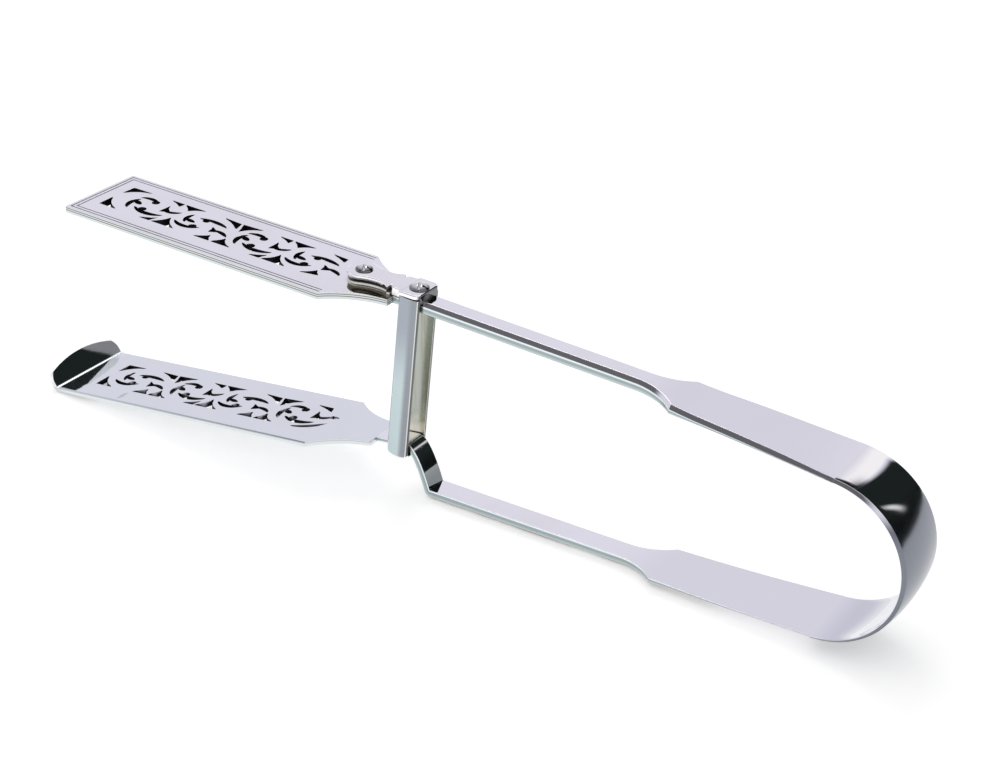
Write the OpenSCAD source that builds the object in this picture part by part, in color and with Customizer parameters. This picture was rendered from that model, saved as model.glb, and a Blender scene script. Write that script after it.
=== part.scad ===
// Bow-sprung asparagus tongs with pierced blades and a guide loop.
// Millimetres, Z up. The tongs lie on the underside of the lower handle bar.
// The origin is on the resting plane under the middle of the overall length.

/* [Handles] */
// Width of both handle bars and of the lower neck
stem_w = 6.4; // [5.5:0.1:7.5]
// Thickness of both handle bars
stem_t = 2.8; // [2.4:0.1:3.2]
// Length of the lower handle bar, from its crank to the grip's shoulder
lower_stem_l = 67; // [60:1:75]
// Length of the upper handle bar, from its blade to the grip's shoulder
upper_stem_l = 80.8; // [74:0.2:88]
// Length of the lower grip, from its shoulder to the bow
lower_grip_l = 43.4; // [38:0.1:48]
// Length of the upper grip, from its shoulder to the bow
upper_grip_l = 42.6; // [38:0.1:48]
// Width of both grips at their shoulders
fiddle_w = 15.6; // [13:0.2:18]
// Thickness of both grips at their shoulders
fiddle_t = 1.7; // [1.2:0.1:2.2]
// Radius of the sweep from the bar into the grip
flare_r = 16; // [12:0.5:22]
// Bevel along the outer edges of the handles and the bow
edge_bevel = 0.7; // [0.3:0.05:0.8]
// Distance of each grip's bend from its shoulder
grip_bend_x = 19; // [14:0.5:24]
// Bend of the lower grip towards the upper one, in degrees
lower_bend = 2.8; // [1:0.1:4]
// Bend of the upper grip towards the lower one, in degrees
upper_bend = 2.7; // [1:0.1:4]

/* [Spring bow] */
// Inside radius of the bow
bow_r = 20.75; // [18:0.05:24]
// Thickness of the bow strap
bow_t = 0.9; // [0.7:0.05:1.2]
// Width of the bow strap and of the back end of each grip
bow_w = 20; // [18:0.2:23]
// Slope of the upper grip in the open position, in degrees
upper_slope = 6; // [5:0.1:7.5]

/* [Lower neck] */
// Height that the crank lifts the neck above the bar
crank_rise = 12; // [11:0.1:13]
// Length along the bar that the crank takes
crank_run = 4.1; // [3.8:0.05:4.8]
// Thickness of the crank
crank_t = 2.6; // [2.2:0.1:2.8]
// Thickness of the neck
neck_t = 1.9; // [1.5:0.1:2.3]
// Length of the neck, from the crank to the lower blade
neck_l = 12.75; // [12.4:0.05:13.6]
// Outside radius of the bend under the crank
crank_r = 3.2; // [2.5:0.1:4]
// Outside radius of the bend on top of the crank
crank_top_r = 1.2; // [0.8:0.1:2]
// Slope of the lower neck and blade down towards the tip, in degrees
lower_dip = 6.5; // [5.6:0.1:6.5]

/* [Blades] */
// Width of both blades
blade_w = 27; // [24:0.5:30]
// Length of the lower blade, from its shoulders to its lip
lower_blade_l = 87.5; // [84:0.5:92]
// Length of the upper blade, from its shoulders to its tip
upper_blade_l = 83.5; // [81:0.5:88]
// Thickness of the lower blade
lower_blade_t = 1.3; // [1:0.05:1.5]
// Thickness of the upper blade
upper_blade_t = 1.8; // [1.5:0.05:2.2]
// Length of the swept shoulders of each blade
sweep_l = 16; // [13:0.5:18]
// Width of the lower blade where it meets the neck
lower_end_w = 12.2; // [10:0.2:14]
// Width of the upper blade where it meets the bar
upper_end_w = 11.2; // [9:0.2:13]
// Depth of the curve in the swept shoulders
sweep_sag = 1.6; // [0.8:0.1:2]
// Slope of the upper blade up towards the tip, in degrees
upper_rise = 2.25; // [1.5:0.05:3]
// Small bevel along the long edges of the blades
blade_bevel = 0.35; // [0.2:0.05:0.5]

/* [Lip] */
// Angle that the lip is turned up from the blade, in degrees
lip_a = 63; // [50:1:80]
// Height of the lip above its bend
lip_h = 6; // [5.4:0.1:7]
// Inside radius of the lip's bend
lip_bend_r = 0.8; // [0.5:0.1:1.5]
// Radius of the lip's two corners
lip_corner_r = 5.1; // [4.6:0.1:5.6]
// Radius of the lip's crowned edge
lip_crown_r = 36; // [32:1:50]

/* [Reeded border] */
// Distance of the first incised line from the edge
reed_in = 0.9; // [0.7:0.05:1.2]
// Distance between the two incised lines
reed_step = 1.1; // [0.8:0.05:1.4]
// Width of each incised line
reed_w = 0.35; // [0.25:0.05:0.5]
// Depth of each incised line
reed_d = 0.25; // [0.15:0.05:0.4]

/* [Piercing] */
// Distance between neighbouring scrolls of the lower blade
lower_pitch = 18.8; // [18.2:0.1:19.2]
// Distance between neighbouring scrolls of the upper blade
upper_pitch = 18.4; // [18:0.1:19]
// Distance that each right-hand scroll sits ahead of its even spacing
scroll_lead = 0.5; // [0:0.1:0.6]
// Number of scrolls along each blade
scroll_count = 4; // [2:1:4]
// Distance of the first lower scroll from the tip
lower_scroll_x = 17.3; // [16.5:0.1:18.5]
// Distance of the first upper scroll from the tip
upper_scroll_x = 14.5; // [14.2:0.1:15.6]
// Distance of the upper blade's band from the middle of its width
upper_band_y = 0.4; // [0:0.1:0.6]
// Half height of the pierced band
band_h = 6.8; // [6.4:0.1:7]

/* [Bridge plate] */
// Height of the bridge plate above the blade
bridge_h = 3; // [2.8:0.1:3.4]
// Height of the blade's top above the underside of the bar
blade_seat = 1.8; // [1.5:0.1:2]
// Radius of the tongue's round end
tongue_r = 4.4; // [3.9:0.1:5]
// Distance of the blade screw from the end of the bar
tongue_l = 11.1; // [10:0.1:12]
// Width of the tongue at its waist
tongue_w = 6; // [5.4:0.1:6.8]
// Radius of the tongue's hollow sides
tongue_side_r = 13; // [11:0.5:16]
// Length of the nick behind the tongue
nick_l = 1.4; // [1:0.1:2]
// Width left between the two nicks
nick_w = 3.6; // [3:0.1:4.4]
// Width of the collar beside the guide
collar_w = 8.2; // [7:0.1:9]
// Length of the cap over the guide
cap_l = 6; // [5.6:0.1:6.4]
// Distance of the cap's middle from the end of the bar
cap_x = 5.75; // [5.5:0.05:6.2]
// Thickness of the cap over the guide's ends
cap_t = 1; // [0.8:0.05:1.1]
// Radius of the cap's back corners
cap_corner_r = 1.8; // [1.2:0.1:2.2]

/* [Guide loop] */
// Clearance between the lower neck and each side of the guide
guide_clear = 0.4; // [0.3:0.05:0.6]
// Clearance between the lower neck and the bar of the guide at rest
stop_clear = 0.5; // [0.5:0.05:0.7]
// Width of the guide's strap along the tongs
guide_w = 6.1; // [5.4:0.1:6.2]
// Distance of the guide ahead of the cap's middle
guide_set = 0.25; // [0:0.05:0.5]
// Thickness of the guide's strap
guide_t = 1.4; // [1.2:0.1:1.7]
// Crown of the strap's outer face
guide_crown = 0.35; // [0.2:0.05:0.5]
// Inside radius of the guide's two lower corners
guide_r = 0.7; // [0.5:0.1:0.8]
// Lean of the guide from upright, in degrees
guide_lean = 4.7; // [4:0.1:5.2]

/* [Screws] */
// Diameter of the blade screw's head
blade_head_d = 4.6; // [4:0.1:5.2]
// Diameter of the cap screw's head
cap_head_d = 5.2; // [4.4:0.1:5.4]
// Height of both domed heads
head_h = 1.1; // [0.8:0.05:1.4]
// Diameter of both shanks
shank_d = 2.4; // [2:0.1:2.8]
// Width of the slot in each head
slot_w = 0.7; // [0.5:0.05:0.9]
// Depth of the slot in each head
slot_d = 0.6; // [0.4:0.05:0.8]
// Direction of the slots, in degrees from the tongs' length
slot_a = 118; // [0:1:180]

/* [Hidden] */
$fn = 64;
eps = 0.05;
// Run-out of a cut past the line that trims it
over = 0.2;
// Half height that the scrolls are drawn at
motif_h = 6.8;
silver = [0.80, 0.79, 0.80];
old_silver = [0.70, 0.69, 0.68];

// Sweep from the bar to the grip's shoulder
flare_rise = (fiddle_w - stem_w) / 2;
flare_l = sqrt(flare_r * flare_r - pow(flare_r - flare_rise, 2));
stem_hw = stem_w / 2;
// Depth that the sweep's edge and the lip's corners run past the sides they join
waist = 0.1;
// Depth that a rounding runs past the two sides it joins
round_run = 0.03;
// Height of the lip's corners above its bend
lip_land = 0.3;

// Back end of the lower grip and the bow's centre, from the inside of the crank
lower_back_l = lower_grip_l - grip_bend_x;
lower_end_x = lower_stem_l + grip_bend_x + lower_back_l * cos(lower_bend);
lower_end_z = lower_back_l * sin(lower_bend);
bow_x = lower_end_x - bow_r * sin(lower_bend);
bow_z = lower_end_z + bow_r * cos(lower_bend);
upper_end_x = bow_x + bow_r * sin(upper_slope);
upper_end_z = bow_z + bow_r * cos(upper_slope);
bow_sweep = 180 - lower_bend - upper_slope;
upper_stem_slope = upper_slope - upper_bend;

// Crank and neck, as points on the inner face
crank_len = norm([crank_run, crank_rise]);
crank_dir = [crank_run, -crank_rise] / crank_len;
neck_dir = [cos(lower_dip), sin(lower_dip)];
crank_top = [-crank_run, crank_rise];
neck_end = crank_top - neck_l * neck_dir;
neck_n = [sin(lower_dip), -cos(lower_dip)];
crank_n = [crank_dir[1], -crank_dir[0]];
crank_k = neck_n * crank_n;
crank_top_out = crank_top
  + ((neck_t - crank_t * crank_k) * neck_n + (crank_t - neck_t * crank_k) * crank_n) / (1 - crank_k * crank_k);
neck_end_out = neck_end + neck_t * neck_n;
// Where the crank's outer face meets the underside of the bar
crank_out = crank_top_out + crank_dir * ((-stem_t - crank_top_out[1]) / crank_dir[1]);

// Tip of the lip and the middle of the overall length
lower_full_l = lower_blade_l + sweep_l;
lip_out_r = lip_bend_r + lower_blade_t;
lip_c = [-lower_full_l, lip_bend_r];
lip_n = [-sin(lip_a), -cos(lip_a)];
lip_u = [-cos(lip_a), sin(lip_a)];
lip_corner = lip_c + lip_out_r / cos(lip_a / 2) * [-sin(lip_a / 2), -cos(lip_a / 2)];
lip_tip = lip_c + lip_out_r * lip_n + lip_h * lip_u;
left_x = neck_end[0] + lip_tip[0] * cos(lower_dip) - lip_tip[1] * sin(lower_dip);
right_x = bow_x + bow_r + bow_t;
mid_x = (left_x + right_x) / 2;

// Guide
guide_gap = stem_w + 2 * guide_clear;
guide_out = guide_gap + 2 * guide_t;
cap_w = guide_out;
blade_pitch = upper_stem_slope - upper_rise;
// Middle of the guide in the resting frame, on the underside of the upper bar
upper_back_l = upper_grip_l - grip_bend_x;
upper_run = upper_stem_l + grip_bend_x;
bar_end_x = upper_end_x - upper_back_l * cos(upper_slope) - upper_run * cos(upper_stem_slope);
bar_end_z = upper_end_z + upper_back_l * sin(upper_slope) + upper_run * sin(upper_stem_slope);
guide_x = cap_x - guide_set;
guide_mid_x = bar_end_x + guide_x * cos(upper_stem_slope);
guide_mid_z = bar_end_z - guide_x * sin(upper_stem_slope);
// Depth of the guide below the bar, so that it clears the neck at rest
stop_half = guide_w / 2;
neck_under_z = neck_end_out[1] - neck_end_out[0] * tan(lower_dip);
stop_drop = stop_half * (tan(lower_dip) + tan(guide_lean)) + stop_clear;
guide_depth = (guide_mid_z - neck_under_z - tan(lower_dip) * guide_mid_x + stop_drop)
  / (cos(guide_lean) - tan(lower_dip) * sin(guide_lean));
shank_r = shank_d / 2;
hole_r = shank_r + 0.02;

function unit(v) = v / norm(v);
function arc_r(c, s) = (c * c / 4 + s * s) / (2 * abs(s));
// Widening of a grip along its length, and the angle that it thins at
function grip_edge(grip_l) = (bow_w - fiddle_w) / 2 / grip_l;
function grip_tilt(grip_l) = atan((fiddle_t - bow_t) / grip_l);

// Disc whose edge runs through a and b and rises by s to the left of the line a-b
module arc_disc(a, b, s) {
  c = norm(b - a);
  r = arc_r(c, s);
  d = b - a;
  translate((a + b) / 2)
    rotate(atan2(d[1], d[0]))
      translate([0, s > 0 ? s - r : s + r])
        circle(r);
}

// Crescent between two arcs on the same side of a-b
module crescent(a, b, s_out, s_in) {
  difference() {
    arc_disc(a, b, s_out);
    arc_disc(a, b, s_in);
  }
}

// Lens between an arc on each side of a-b
module lens(a, b, s_left, s_right) {
  intersection() {
    arc_disc(a, b, s_left);
    arc_disc(a, b, -s_right);
  }
}

// Corner piece a-b-c with the side c-a drawn in by s
module corner_piece(a, b, c, s) {
  difference() {
    polygon([a + unit(a - b) * over, b, c + unit(c - b) * over]);
    arc_disc(c, a, -s);
  }
}

// Triangle a-b-c, anticlockwise, with its last two sides drawn in
module peak(a, b, c, s_right, s_left) {
  u = unit(b - a) * over;
  difference() {
    polygon([a - u, b + u, c + unit(2 * c - a - b) * over]);
    arc_disc(b, c, s_right);
    arc_disc(c, a, s_left);
  }
}

// Sharp tip that a rounding takes off at p, between the directions of a and b
module corner_cut(p, a, b, r) {
  ua = unit(a - p);
  ub = unit(b - p);
  half = acos(ua * ub) / 2;
  in = r - round_run;
  c = p + unit(ua + ub) * in / sin(half);
  difference() {
    polygon([
      c, c + unit(p + ua * in / tan(half) - c) * (r + 1),
      p - unit(ua + ub) * 1.5, c + unit(p + ub * in / tan(half) - c) * (r + 1)
    ]);
    translate(c)
      circle(r);
  }
}

// Round blob in a scroll
module blob(p, r) {
  translate(p)
    circle(r);
}

// Scroll that curls in from the left, about its own middle
module scroll_left() {
  crescent([-2.1, 2.3], [-1.7, -4.2], -1.7, -0.5);
  lens([-2.8, 0.9], [0.1, -0.5], 0.6, 0.8);
  crescent([-2.8, 3.0], [3.4, 2.8], 1.6, 0.5);
  blob([2.55, 2.9], 0.95);
  crescent([-0.4, -2.4], [9.3, -2.4], -2.3, -0.9);
  blob([2.3, -2.6], 1.1);
  peak([6.8, -0.7], [9.4, 0.6], [7.0, 3.6], 0.5, 0.1);
  crescent([7.4, 0.3], [12.2, 2.2], -1.3, -0.3);
}

// Scroll that curls in from the right, about its own middle
module scroll_right() {
  crescent([-3.3, 3.5], [-2.7, -1.8], -1.2, -0.2);
  lens([-3.6, 0.3], [-0.2, -0.5], 0.5, 0.7);
  crescent([-5.4, -2.4], [2.8, -2.2], -2.2, -1.0);
  blob([0.8, -2.6], 1.0);
  crescent([-0.8, 2.5], [8.8, 2.0], 1.4, 0.2);
  blob([1.7, 2.3], 0.9);
  crescent([6.7, -1.2], [12.0, -2.6], 1.2, 0.2);
  peak([6.2, -2.6], [8.8, -1.2], [5.5, 0.3], 0.3, 0.3);
}

// Pieces along the top and the foot of the band, from a left scroll to a right one
module between_left_right() {
  peak([9.3, motif_h], [5.0, motif_h], [9.0, motif_h - 1.8], 0.3, 0.05);
  peak([16.7, motif_h], [9.8, motif_h], [12.7, motif_h - 2.6], 0.3, 0.5);
  peak([4.9, -motif_h], [8.4, -motif_h], [9.3, 2.5 - motif_h], 0.2, 0.3);
  peak([9.0, -motif_h], [16.7, -motif_h], [12.0, 4.8 - motif_h], 0.8, 0.6);
}

// Pieces along the top and the foot of the band, from a right scroll to a left one
module between_right_left() {
  peak([10.2, motif_h - 0.4], [4.3, motif_h], [11.0, motif_h - 3.8], 0.6, 0.1);
  peak([17.3, motif_h], [10.9, motif_h - 0.3], [12.5, motif_h - 4.4], 0.2, 0.8);
  peak([4.6, -motif_h], [9.8, -motif_h], [8.2, 2.7 - motif_h], 0.4, 0.3);
  peak([10.3, -motif_h], [16.7, -motif_h], [12.6, 3.6 - motif_h], 0.8, 0.3);
}

// Pieces that close the band behind a last left scroll
module end_left() {
  peak([9.2, motif_h - 0.2], [4.0, motif_h], [9.9, motif_h - 2.3], 0.3, 0.1);
  lens([11.4, 1.5], [14.6, 1.9], 1.0, 0.6);
  crescent([4.6, -motif_h], [13.4, 5.2 - motif_h], -1.4, -0.4);
}

// Pieces that close the band behind a last right scroll
module end_right() {
  peak([8.2, motif_h - 0.3], [3.4, motif_h], [8.4, motif_h - 2.1], 0.2, 0.1);
  peak([2.4, -motif_h], [7.6, 1.2 - motif_h], [5.8, 3.3 - motif_h], 0.3, 0.4);
}

// Whole pierced band along a blade, with the first scroll at the origin
module band(first_left, pitch) {
  k = band_h / motif_h;
  scale(k) {
    corner_piece([-8.6, motif_h - 4.4], [-8.4, motif_h], [-2.0, motif_h], 1.0);
    corner_piece([-3.2, -motif_h], [-8.8, -motif_h], [-8.8, 5.4 - motif_h], 1.0);
  }
  for (i = [0 : scroll_count - 1]) {
    last = i == scroll_count - 1;
    left = (i % 2 == 0) == first_left;
    lead = left == first_left ? 0 : left ? -scroll_lead : scroll_lead;
    translate([i * pitch + lead, 0])
      scale(k)
        if (left) {
          scroll_left();
          if (last)
            end_left();
          else
            between_left_right();
        } else {
          scroll_right();
          if (last)
            end_right();
          else
            between_right_left();
        }
  }
}

// Discs that sweep both shoulders of a blade in to its narrow end at 0
module shoulder_discs(end_w) {
  arc_disc([-sweep_l, blade_w / 2], [0, end_w / 2], -sweep_sag);
  arc_disc([-sweep_l, -blade_w / 2], [0, -end_w / 2], sweep_sag);
}

// Cutters along both long upper edges of a blade, from its bend to just past its shoulders
module blade_edge_cut(blade_l) {
  for (m = [0, 1])
    mirror([0, m, 0])
      translate([-blade_l - sweep_l + 0.4, blade_w / 2, -blade_bevel])
        rotate([45, 0, 0])
          cube([blade_l + 0.6, 4, 4]);
}

// Flat outline of a handle, with the bar's front end at 0
module handle_plan(stem_l, grip_l) {
  edge = grip_edge(grip_l);
  flare_x = stem_l - flare_l;
  back_x = stem_l + grip_l + 1;
  back_hw = fiddle_w / 2 + edge * (grip_l + 1);
  front_hw = fiddle_w / 2 - edge * flare_l;
  difference() {
    polygon([
      [-30, -front_hw], [flare_x, -front_hw], [back_x, -back_hw],
      [back_x, back_hw], [flare_x, front_hw], [-30, front_hw]
    ]);
    for (m = [0, 1])
      mirror([0, m]) {
        translate([-40, stem_hw])
          square([flare_x + 40, 20]);
        translate([flare_x, stem_hw + flare_r - waist])
          circle(flare_r);
      }
  }
}

// Cutters that bevel both edges of a bar along X, its outer face at Z 0 and its body above
module bar_bevel(from, to) {
  for (m = [0, 1])
    mirror([0, m, 0])
      translate([from, stem_hw, edge_bevel])
        rotate([-45, 0, 0])
          translate([0, 0, -4])
            cube([to - from, 4, 8]);
}

// Cutter that bevels a grip's side from x on, its outer face at Z z and bent up by bend
module grip_bevel(x, z, stem_l, grip_l, bend) {
  edge = grip_edge(grip_l);
  translate([x, fiddle_w / 2 + edge * (x - stem_l), z])
    rotate([0, -bend, atan(edge)])
      rotate([0, -grip_tilt(grip_l), 0])
        translate([-5, 0, edge_bevel])
          rotate([-45, 0, 0])
            translate([0, 0, -4])
              cube([grip_l + 5, 4, 8]);
}

// Handle in its bar's frame: inner face at Z 0, outer face below, front outline given in X and Z
module handle(stem_l, grip_l, bend, front_in, front_out) {
  flare_x = stem_l - flare_l;
  bend_t = fiddle_t - grip_bend_x * tan(grip_tilt(grip_l));
  bend_in = [stem_l + grip_bend_x, 0];
  bend_out = bend_in + bend_t * [tan(bend / 2), -1];
  back_in = bend_in + (grip_l - grip_bend_x) * [cos(bend), sin(bend)];
  back_out = back_in + bow_t * [sin(bend), -cos(bend)];
  difference() {
    intersection() {
      rotate([90, 0, 0])
        linear_extrude(bow_w + 10, center = true)
          difference() {
            polygon(concat(
              front_in, [bend_in, back_in, back_out, bend_out, [stem_l, -fiddle_t], [flare_x, -stem_t]], front_out
            ));
            if (len(front_out) > 1) {
              corner_cut(front_out[0], [flare_x, -stem_t], front_out[1], crank_r);
              corner_cut(front_in[1], front_in[0], front_in[2], crank_top_r);
            }
          }
      translate([0, 0, -20])
        linear_extrude(60)
          handle_plan(stem_l, grip_l);
    }
    translate([0, 0, -stem_t])
      bar_bevel(-30, flare_x + 0.9);
    for (m = [0, 1])
      mirror([0, m, 0]) {
        // Bevel that runs out along the sweep
        translate([flare_x, stem_hw + flare_r - waist, -stem_t])
          rotate_extrude()
            polygon([
              [flare_r - 1, -1], [flare_r + edge_bevel + 1, -1], [flare_r - 1, edge_bevel + 1]
            ]);
        grip_bevel(stem_l, -fiddle_t, stem_l, grip_l, 0);
        grip_bevel(bend_out[0], bend_out[1], stem_l, grip_l, bend);
      }
  }
}

// Frame of the resting tongs: X from the inside of the crank, Z from the bar's inner face
module rest_frame() {
  translate([-mid_x, 0, stem_t])
    children();
}

// Frame of the lower blade: its narrow end at 0, its top face at Z 0
module lower_blade_frame() {
  rest_frame()
    translate([neck_end[0], 0, neck_end[1]])
      rotate([0, -lower_dip, 0])
        children();
}

// Frame of the upper bar: its front end at 0, its underside at Z 0
module upper_bar_frame() {
  rest_frame()
    translate([bar_end_x, 0, bar_end_z])
      rotate([0, upper_stem_slope, 0])
        children();
}

// Frame of the upper blade: its narrow end at 0, its top face at Z 0
module upper_blade_frame() {
  upper_bar_frame()
    translate([0, 0, blade_seat])
      rotate([0, -blade_pitch, 0])
        children();
}

// Frame of the guide: under the upper bar, leaning with the loop
module guide_frame() {
  rest_frame()
    translate([guide_mid_x, 0, guide_mid_z])
      rotate([0, guide_lean, 0])
        children();
}

module lower_arm() {
  color(silver)
    rest_frame()
      handle(
        lower_stem_l, lower_grip_l, lower_bend, [neck_end, crank_top, [0, 0]],
        [crank_out, crank_top_out, neck_end_out]
      );
}

// Section of the bow's strap, its outer edges bevelled like the grips
module bow_section() {
  hw = bow_w / 2;
  out_r = bow_r + bow_t;
  polygon([
    [bow_r, -hw], [out_r - edge_bevel, -hw], [out_r, edge_bevel - hw],
    [out_r, hw - edge_bevel], [out_r - edge_bevel, hw], [bow_r, hw]
  ]);
}

module spring_bow() {
  color(silver)
    rest_frame()
      translate([bow_x, 0, bow_z])
        rotate([90, 0, 0])
          rotate([0, 0, lower_bend - 90])
            rotate_extrude(angle = bow_sweep)
              bow_section();
}

// Hole for a screw that stands square to the bridge plate, at x along it
module screw_hole(x) {
  upper_blade_frame()
    translate([x, 0, -10])
      cylinder(r = hole_r, h = 20);
}

module upper_arm() {
  color(silver)
    difference() {
      upper_bar_frame()
        mirror([0, 0, 1])
          handle(upper_stem_l, upper_grip_l, upper_bend, [[0, 0]], [[0, -stem_t]]);
      screw_hole(cap_x);
    }
}

// Side outline of the lower blade with its turned-up lip, in X and Z
module lip_side() {
  difference() {
    polygon([
      [0, 0], [-lower_full_l, 0], lip_c + lip_bend_r * lip_n,
      lip_c + lip_bend_r * lip_n + (lip_h + over) * lip_u,
      lip_tip + over * lip_u, lip_corner, [0, -lower_blade_t]
    ]);
    translate(lip_c)
      circle(lip_bend_r + round_run);
    corner_cut(lip_corner, [0, -lower_blade_t], lip_tip, lip_out_r);
  }
}

// What is cut off round the lip's edge, with its bend at X 0 and its edge towards -X
module lip_trim() {
  corner_y = blade_w / 2 + waist - lip_corner_r;
  difference() {
    translate([-lip_h - 3, -blade_w])
      square([lip_h + 3, 2 * blade_w]);
    translate([lip_crown_r - lip_h, 0])
      circle(lip_crown_r);
  }
  for (m = [0, 1])
    mirror([0, m])
      difference() {
        translate([-lip_h - 3, corner_y + 1.5])
          square([lip_h + 3 - lip_land, lip_corner_r]);
        translate([-lip_land, corner_y])
          circle(lip_corner_r);
      }
}

module lower_blade() {
  color(silver)
    lower_blade_frame()
      difference() {
        rotate([90, 0, 0])
          linear_extrude(blade_w, center = true)
            lip_side();
        translate([0, 0, -lower_blade_t - 1])
          linear_extrude(lower_blade_t + 2) {
            shoulder_discs(lower_end_w);
            translate([lower_scroll_x - lower_full_l, 0])
              band(false, lower_pitch);
          }
        blade_edge_cut(lower_blade_l);
        translate([lip_c[0], 0, lip_c[1]])
          rotate([0, lip_a, 0])
            translate([0, 0, -lip_out_r - 1])
              linear_extrude(lower_blade_t + 1.5)
                lip_trim();
      }
}

module upper_blade() {
  full = upper_blade_l + sweep_l;
  color(silver)
    difference() {
      upper_blade_frame()
        difference() {
          translate([0, 0, -upper_blade_t])
            linear_extrude(upper_blade_t)
              difference() {
                translate([-full, -blade_w / 2])
                  square([full + 1, blade_w]);
                shoulder_discs(upper_end_w);
                translate([upper_scroll_x - full, upper_band_y])
                  band(true, upper_pitch);
              }
          for (k = [0, 1])
            reed(full, reed_in + k * reed_step);
        }
      screw_hole(-tongue_l);
      // The narrow end stops square against the bar
      upper_bar_frame()
        translate([0, -20, -10])
          cube([20, 40, 20]);
    }
}

// Incised line round the tip and along both long edges
module reed(full, inset) {
  hw = blade_w / 2 - inset;
  translate([0, 0, -reed_d])
    linear_extrude(reed_d + 1)
      difference() {
        translate([-full + inset, -hw])
          square([upper_blade_l - inset, 2 * hw]);
        translate([-full + inset + reed_w, -hw + reed_w])
          square([upper_blade_l, 2 * (hw - reed_w)]);
      }
}

// Flat outline of the tongue, the nicks and the collar
module tongue_outline() {
  root = -nick_l;
  root_hw = 0.97 * tongue_r;
  difference() {
    union() {
      translate([-tongue_l, 0])
        circle(tongue_r);
      translate([-tongue_l, -root_hw])
        square([tongue_l + root, 2 * root_hw]);
    }
    for (s = [-1, 1])
      translate([-0.45 * tongue_l, s * (tongue_w / 2 + tongue_side_r)])
        circle(tongue_side_r);
  }
  translate([root - eps, -nick_w / 2])
    square([nick_l + 2 * eps, nick_w]);
}

// Flat outline of the cap over the guide
module cap_outline() {
  x0 = cap_x - cap_l / 2;
  x1 = cap_x + cap_l / 2;
  difference() {
    translate([x0, -cap_w / 2])
      square([cap_l, cap_w]);
    for (s = [-1, 1])
      corner_cut([x1, s * cap_w / 2], [x0, s * cap_w / 2], [x1, 0], cap_corner_r);
  }
}

module bridge_plate() {
  bar_top = stem_t - blade_seat;
  color(old_silver)
    difference() {
      upper_blade_frame() {
        linear_extrude(bridge_h)
          tongue_outline();
        translate([0, 0, bar_top - 0.3])
          linear_extrude(bridge_h - bar_top + 0.3)
            translate([0, -collar_w / 2])
              square([guide_x - guide_w / 2 - 0.3, collar_w]);
        translate([0, 0, bar_top - 0.3])
          linear_extrude(bridge_h - bar_top + 0.3)
            translate([guide_x - guide_w / 2 - 0.3 - eps, -guide_gap / 2])
              square([guide_set + cap_l / 2 + guide_w / 2 + 0.3, guide_gap]);
        translate([0, 0, bridge_h - cap_t])
          linear_extrude(cap_t)
            cap_outline();
      }
      screw_hole(-tongue_l);
      screw_hole(cap_x);
      // Seat over the bar
      upper_bar_frame()
        translate([0, -20, -10])
          cube([40, 40, stem_t + 10]);
    }
}

// Section of the guide's strap: inner face on Y 0, crowned outer face on +Y
module strap_section() {
  r = arc_r(guide_w, guide_crown);
  intersection() {
    translate([-guide_w / 2, 0])
      square([guide_w, guide_t]);
    translate([0, guide_t - r])
      circle(r);
  }
}

module guide_loop() {
  side = guide_gap / 2;
  straight = guide_depth - guide_r;
  color(old_silver)
    difference() {
      guide_frame()
        for (s = [0, 1])
          mirror([0, s, 0]) {
            // Upright
            translate([0, side, -straight])
              linear_extrude(straight + 10)
                strap_section();
            // Lower corner
            translate([0, side - guide_r, -straight])
              rotate([0, 90, 0])
                rotate_extrude(angle = 90)
                  translate([guide_r, 0])
                    rotate(-90)
                      strap_section();
            // Half of the bar under the neck
            translate([0, 0, -guide_depth])
              rotate([-90, 0, 0])
                linear_extrude(side - guide_r)
                  strap_section();
          }
      // The uprights end under the cap
      upper_blade_frame()
        translate([-20, -20, bridge_h - cap_t])
          cube([60, 40, 40]);
    }
}

// Domed screw with a slot, its head seated at Z 0
module screw(head_d, shank_l) {
  r = head_d / 2;
  rim = 0.25;
  dome = head_h - rim;
  dome_r = r - 0.05;
  sphere_r = (dome_r * dome_r + dome * dome) / (2 * dome);
  difference() {
    union() {
      cylinder(r = r, h = rim);
      intersection() {
        translate([0, 0, head_h - sphere_r])
          sphere(sphere_r);
        translate([0, 0, rim - eps])
          cylinder(r = r, h = head_h);
      }
      translate([0, 0, -shank_l])
        cylinder(r = shank_r, h = shank_l + eps);
    }
    rotate([0, 0, slot_a])
      translate([-r - 1, -slot_w / 2, head_h - slot_d])
        cube([2 * r + 2, slot_w, slot_d + 1]);
  }
}

module blade_screw() {
  color(old_silver)
    upper_blade_frame()
      translate([-tongue_l, 0, bridge_h])
        screw(blade_head_d, bridge_h + upper_blade_t);
}

module cap_screw() {
  color(old_silver)
    upper_blade_frame()
      translate([cap_x, 0, bridge_h])
        screw(cap_head_d, bridge_h + blade_seat);
}

lower_arm();
spring_bow();
upper_arm();
lower_blade();
upper_blade();
bridge_plate();
guide_loop();
blade_screw();
cap_screw();
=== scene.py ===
"""Asparagus tongs in polished silver: smoothed pieces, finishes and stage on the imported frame."""

import math

import bmesh
import bpy
from mathutils import Matrix, Vector


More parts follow.
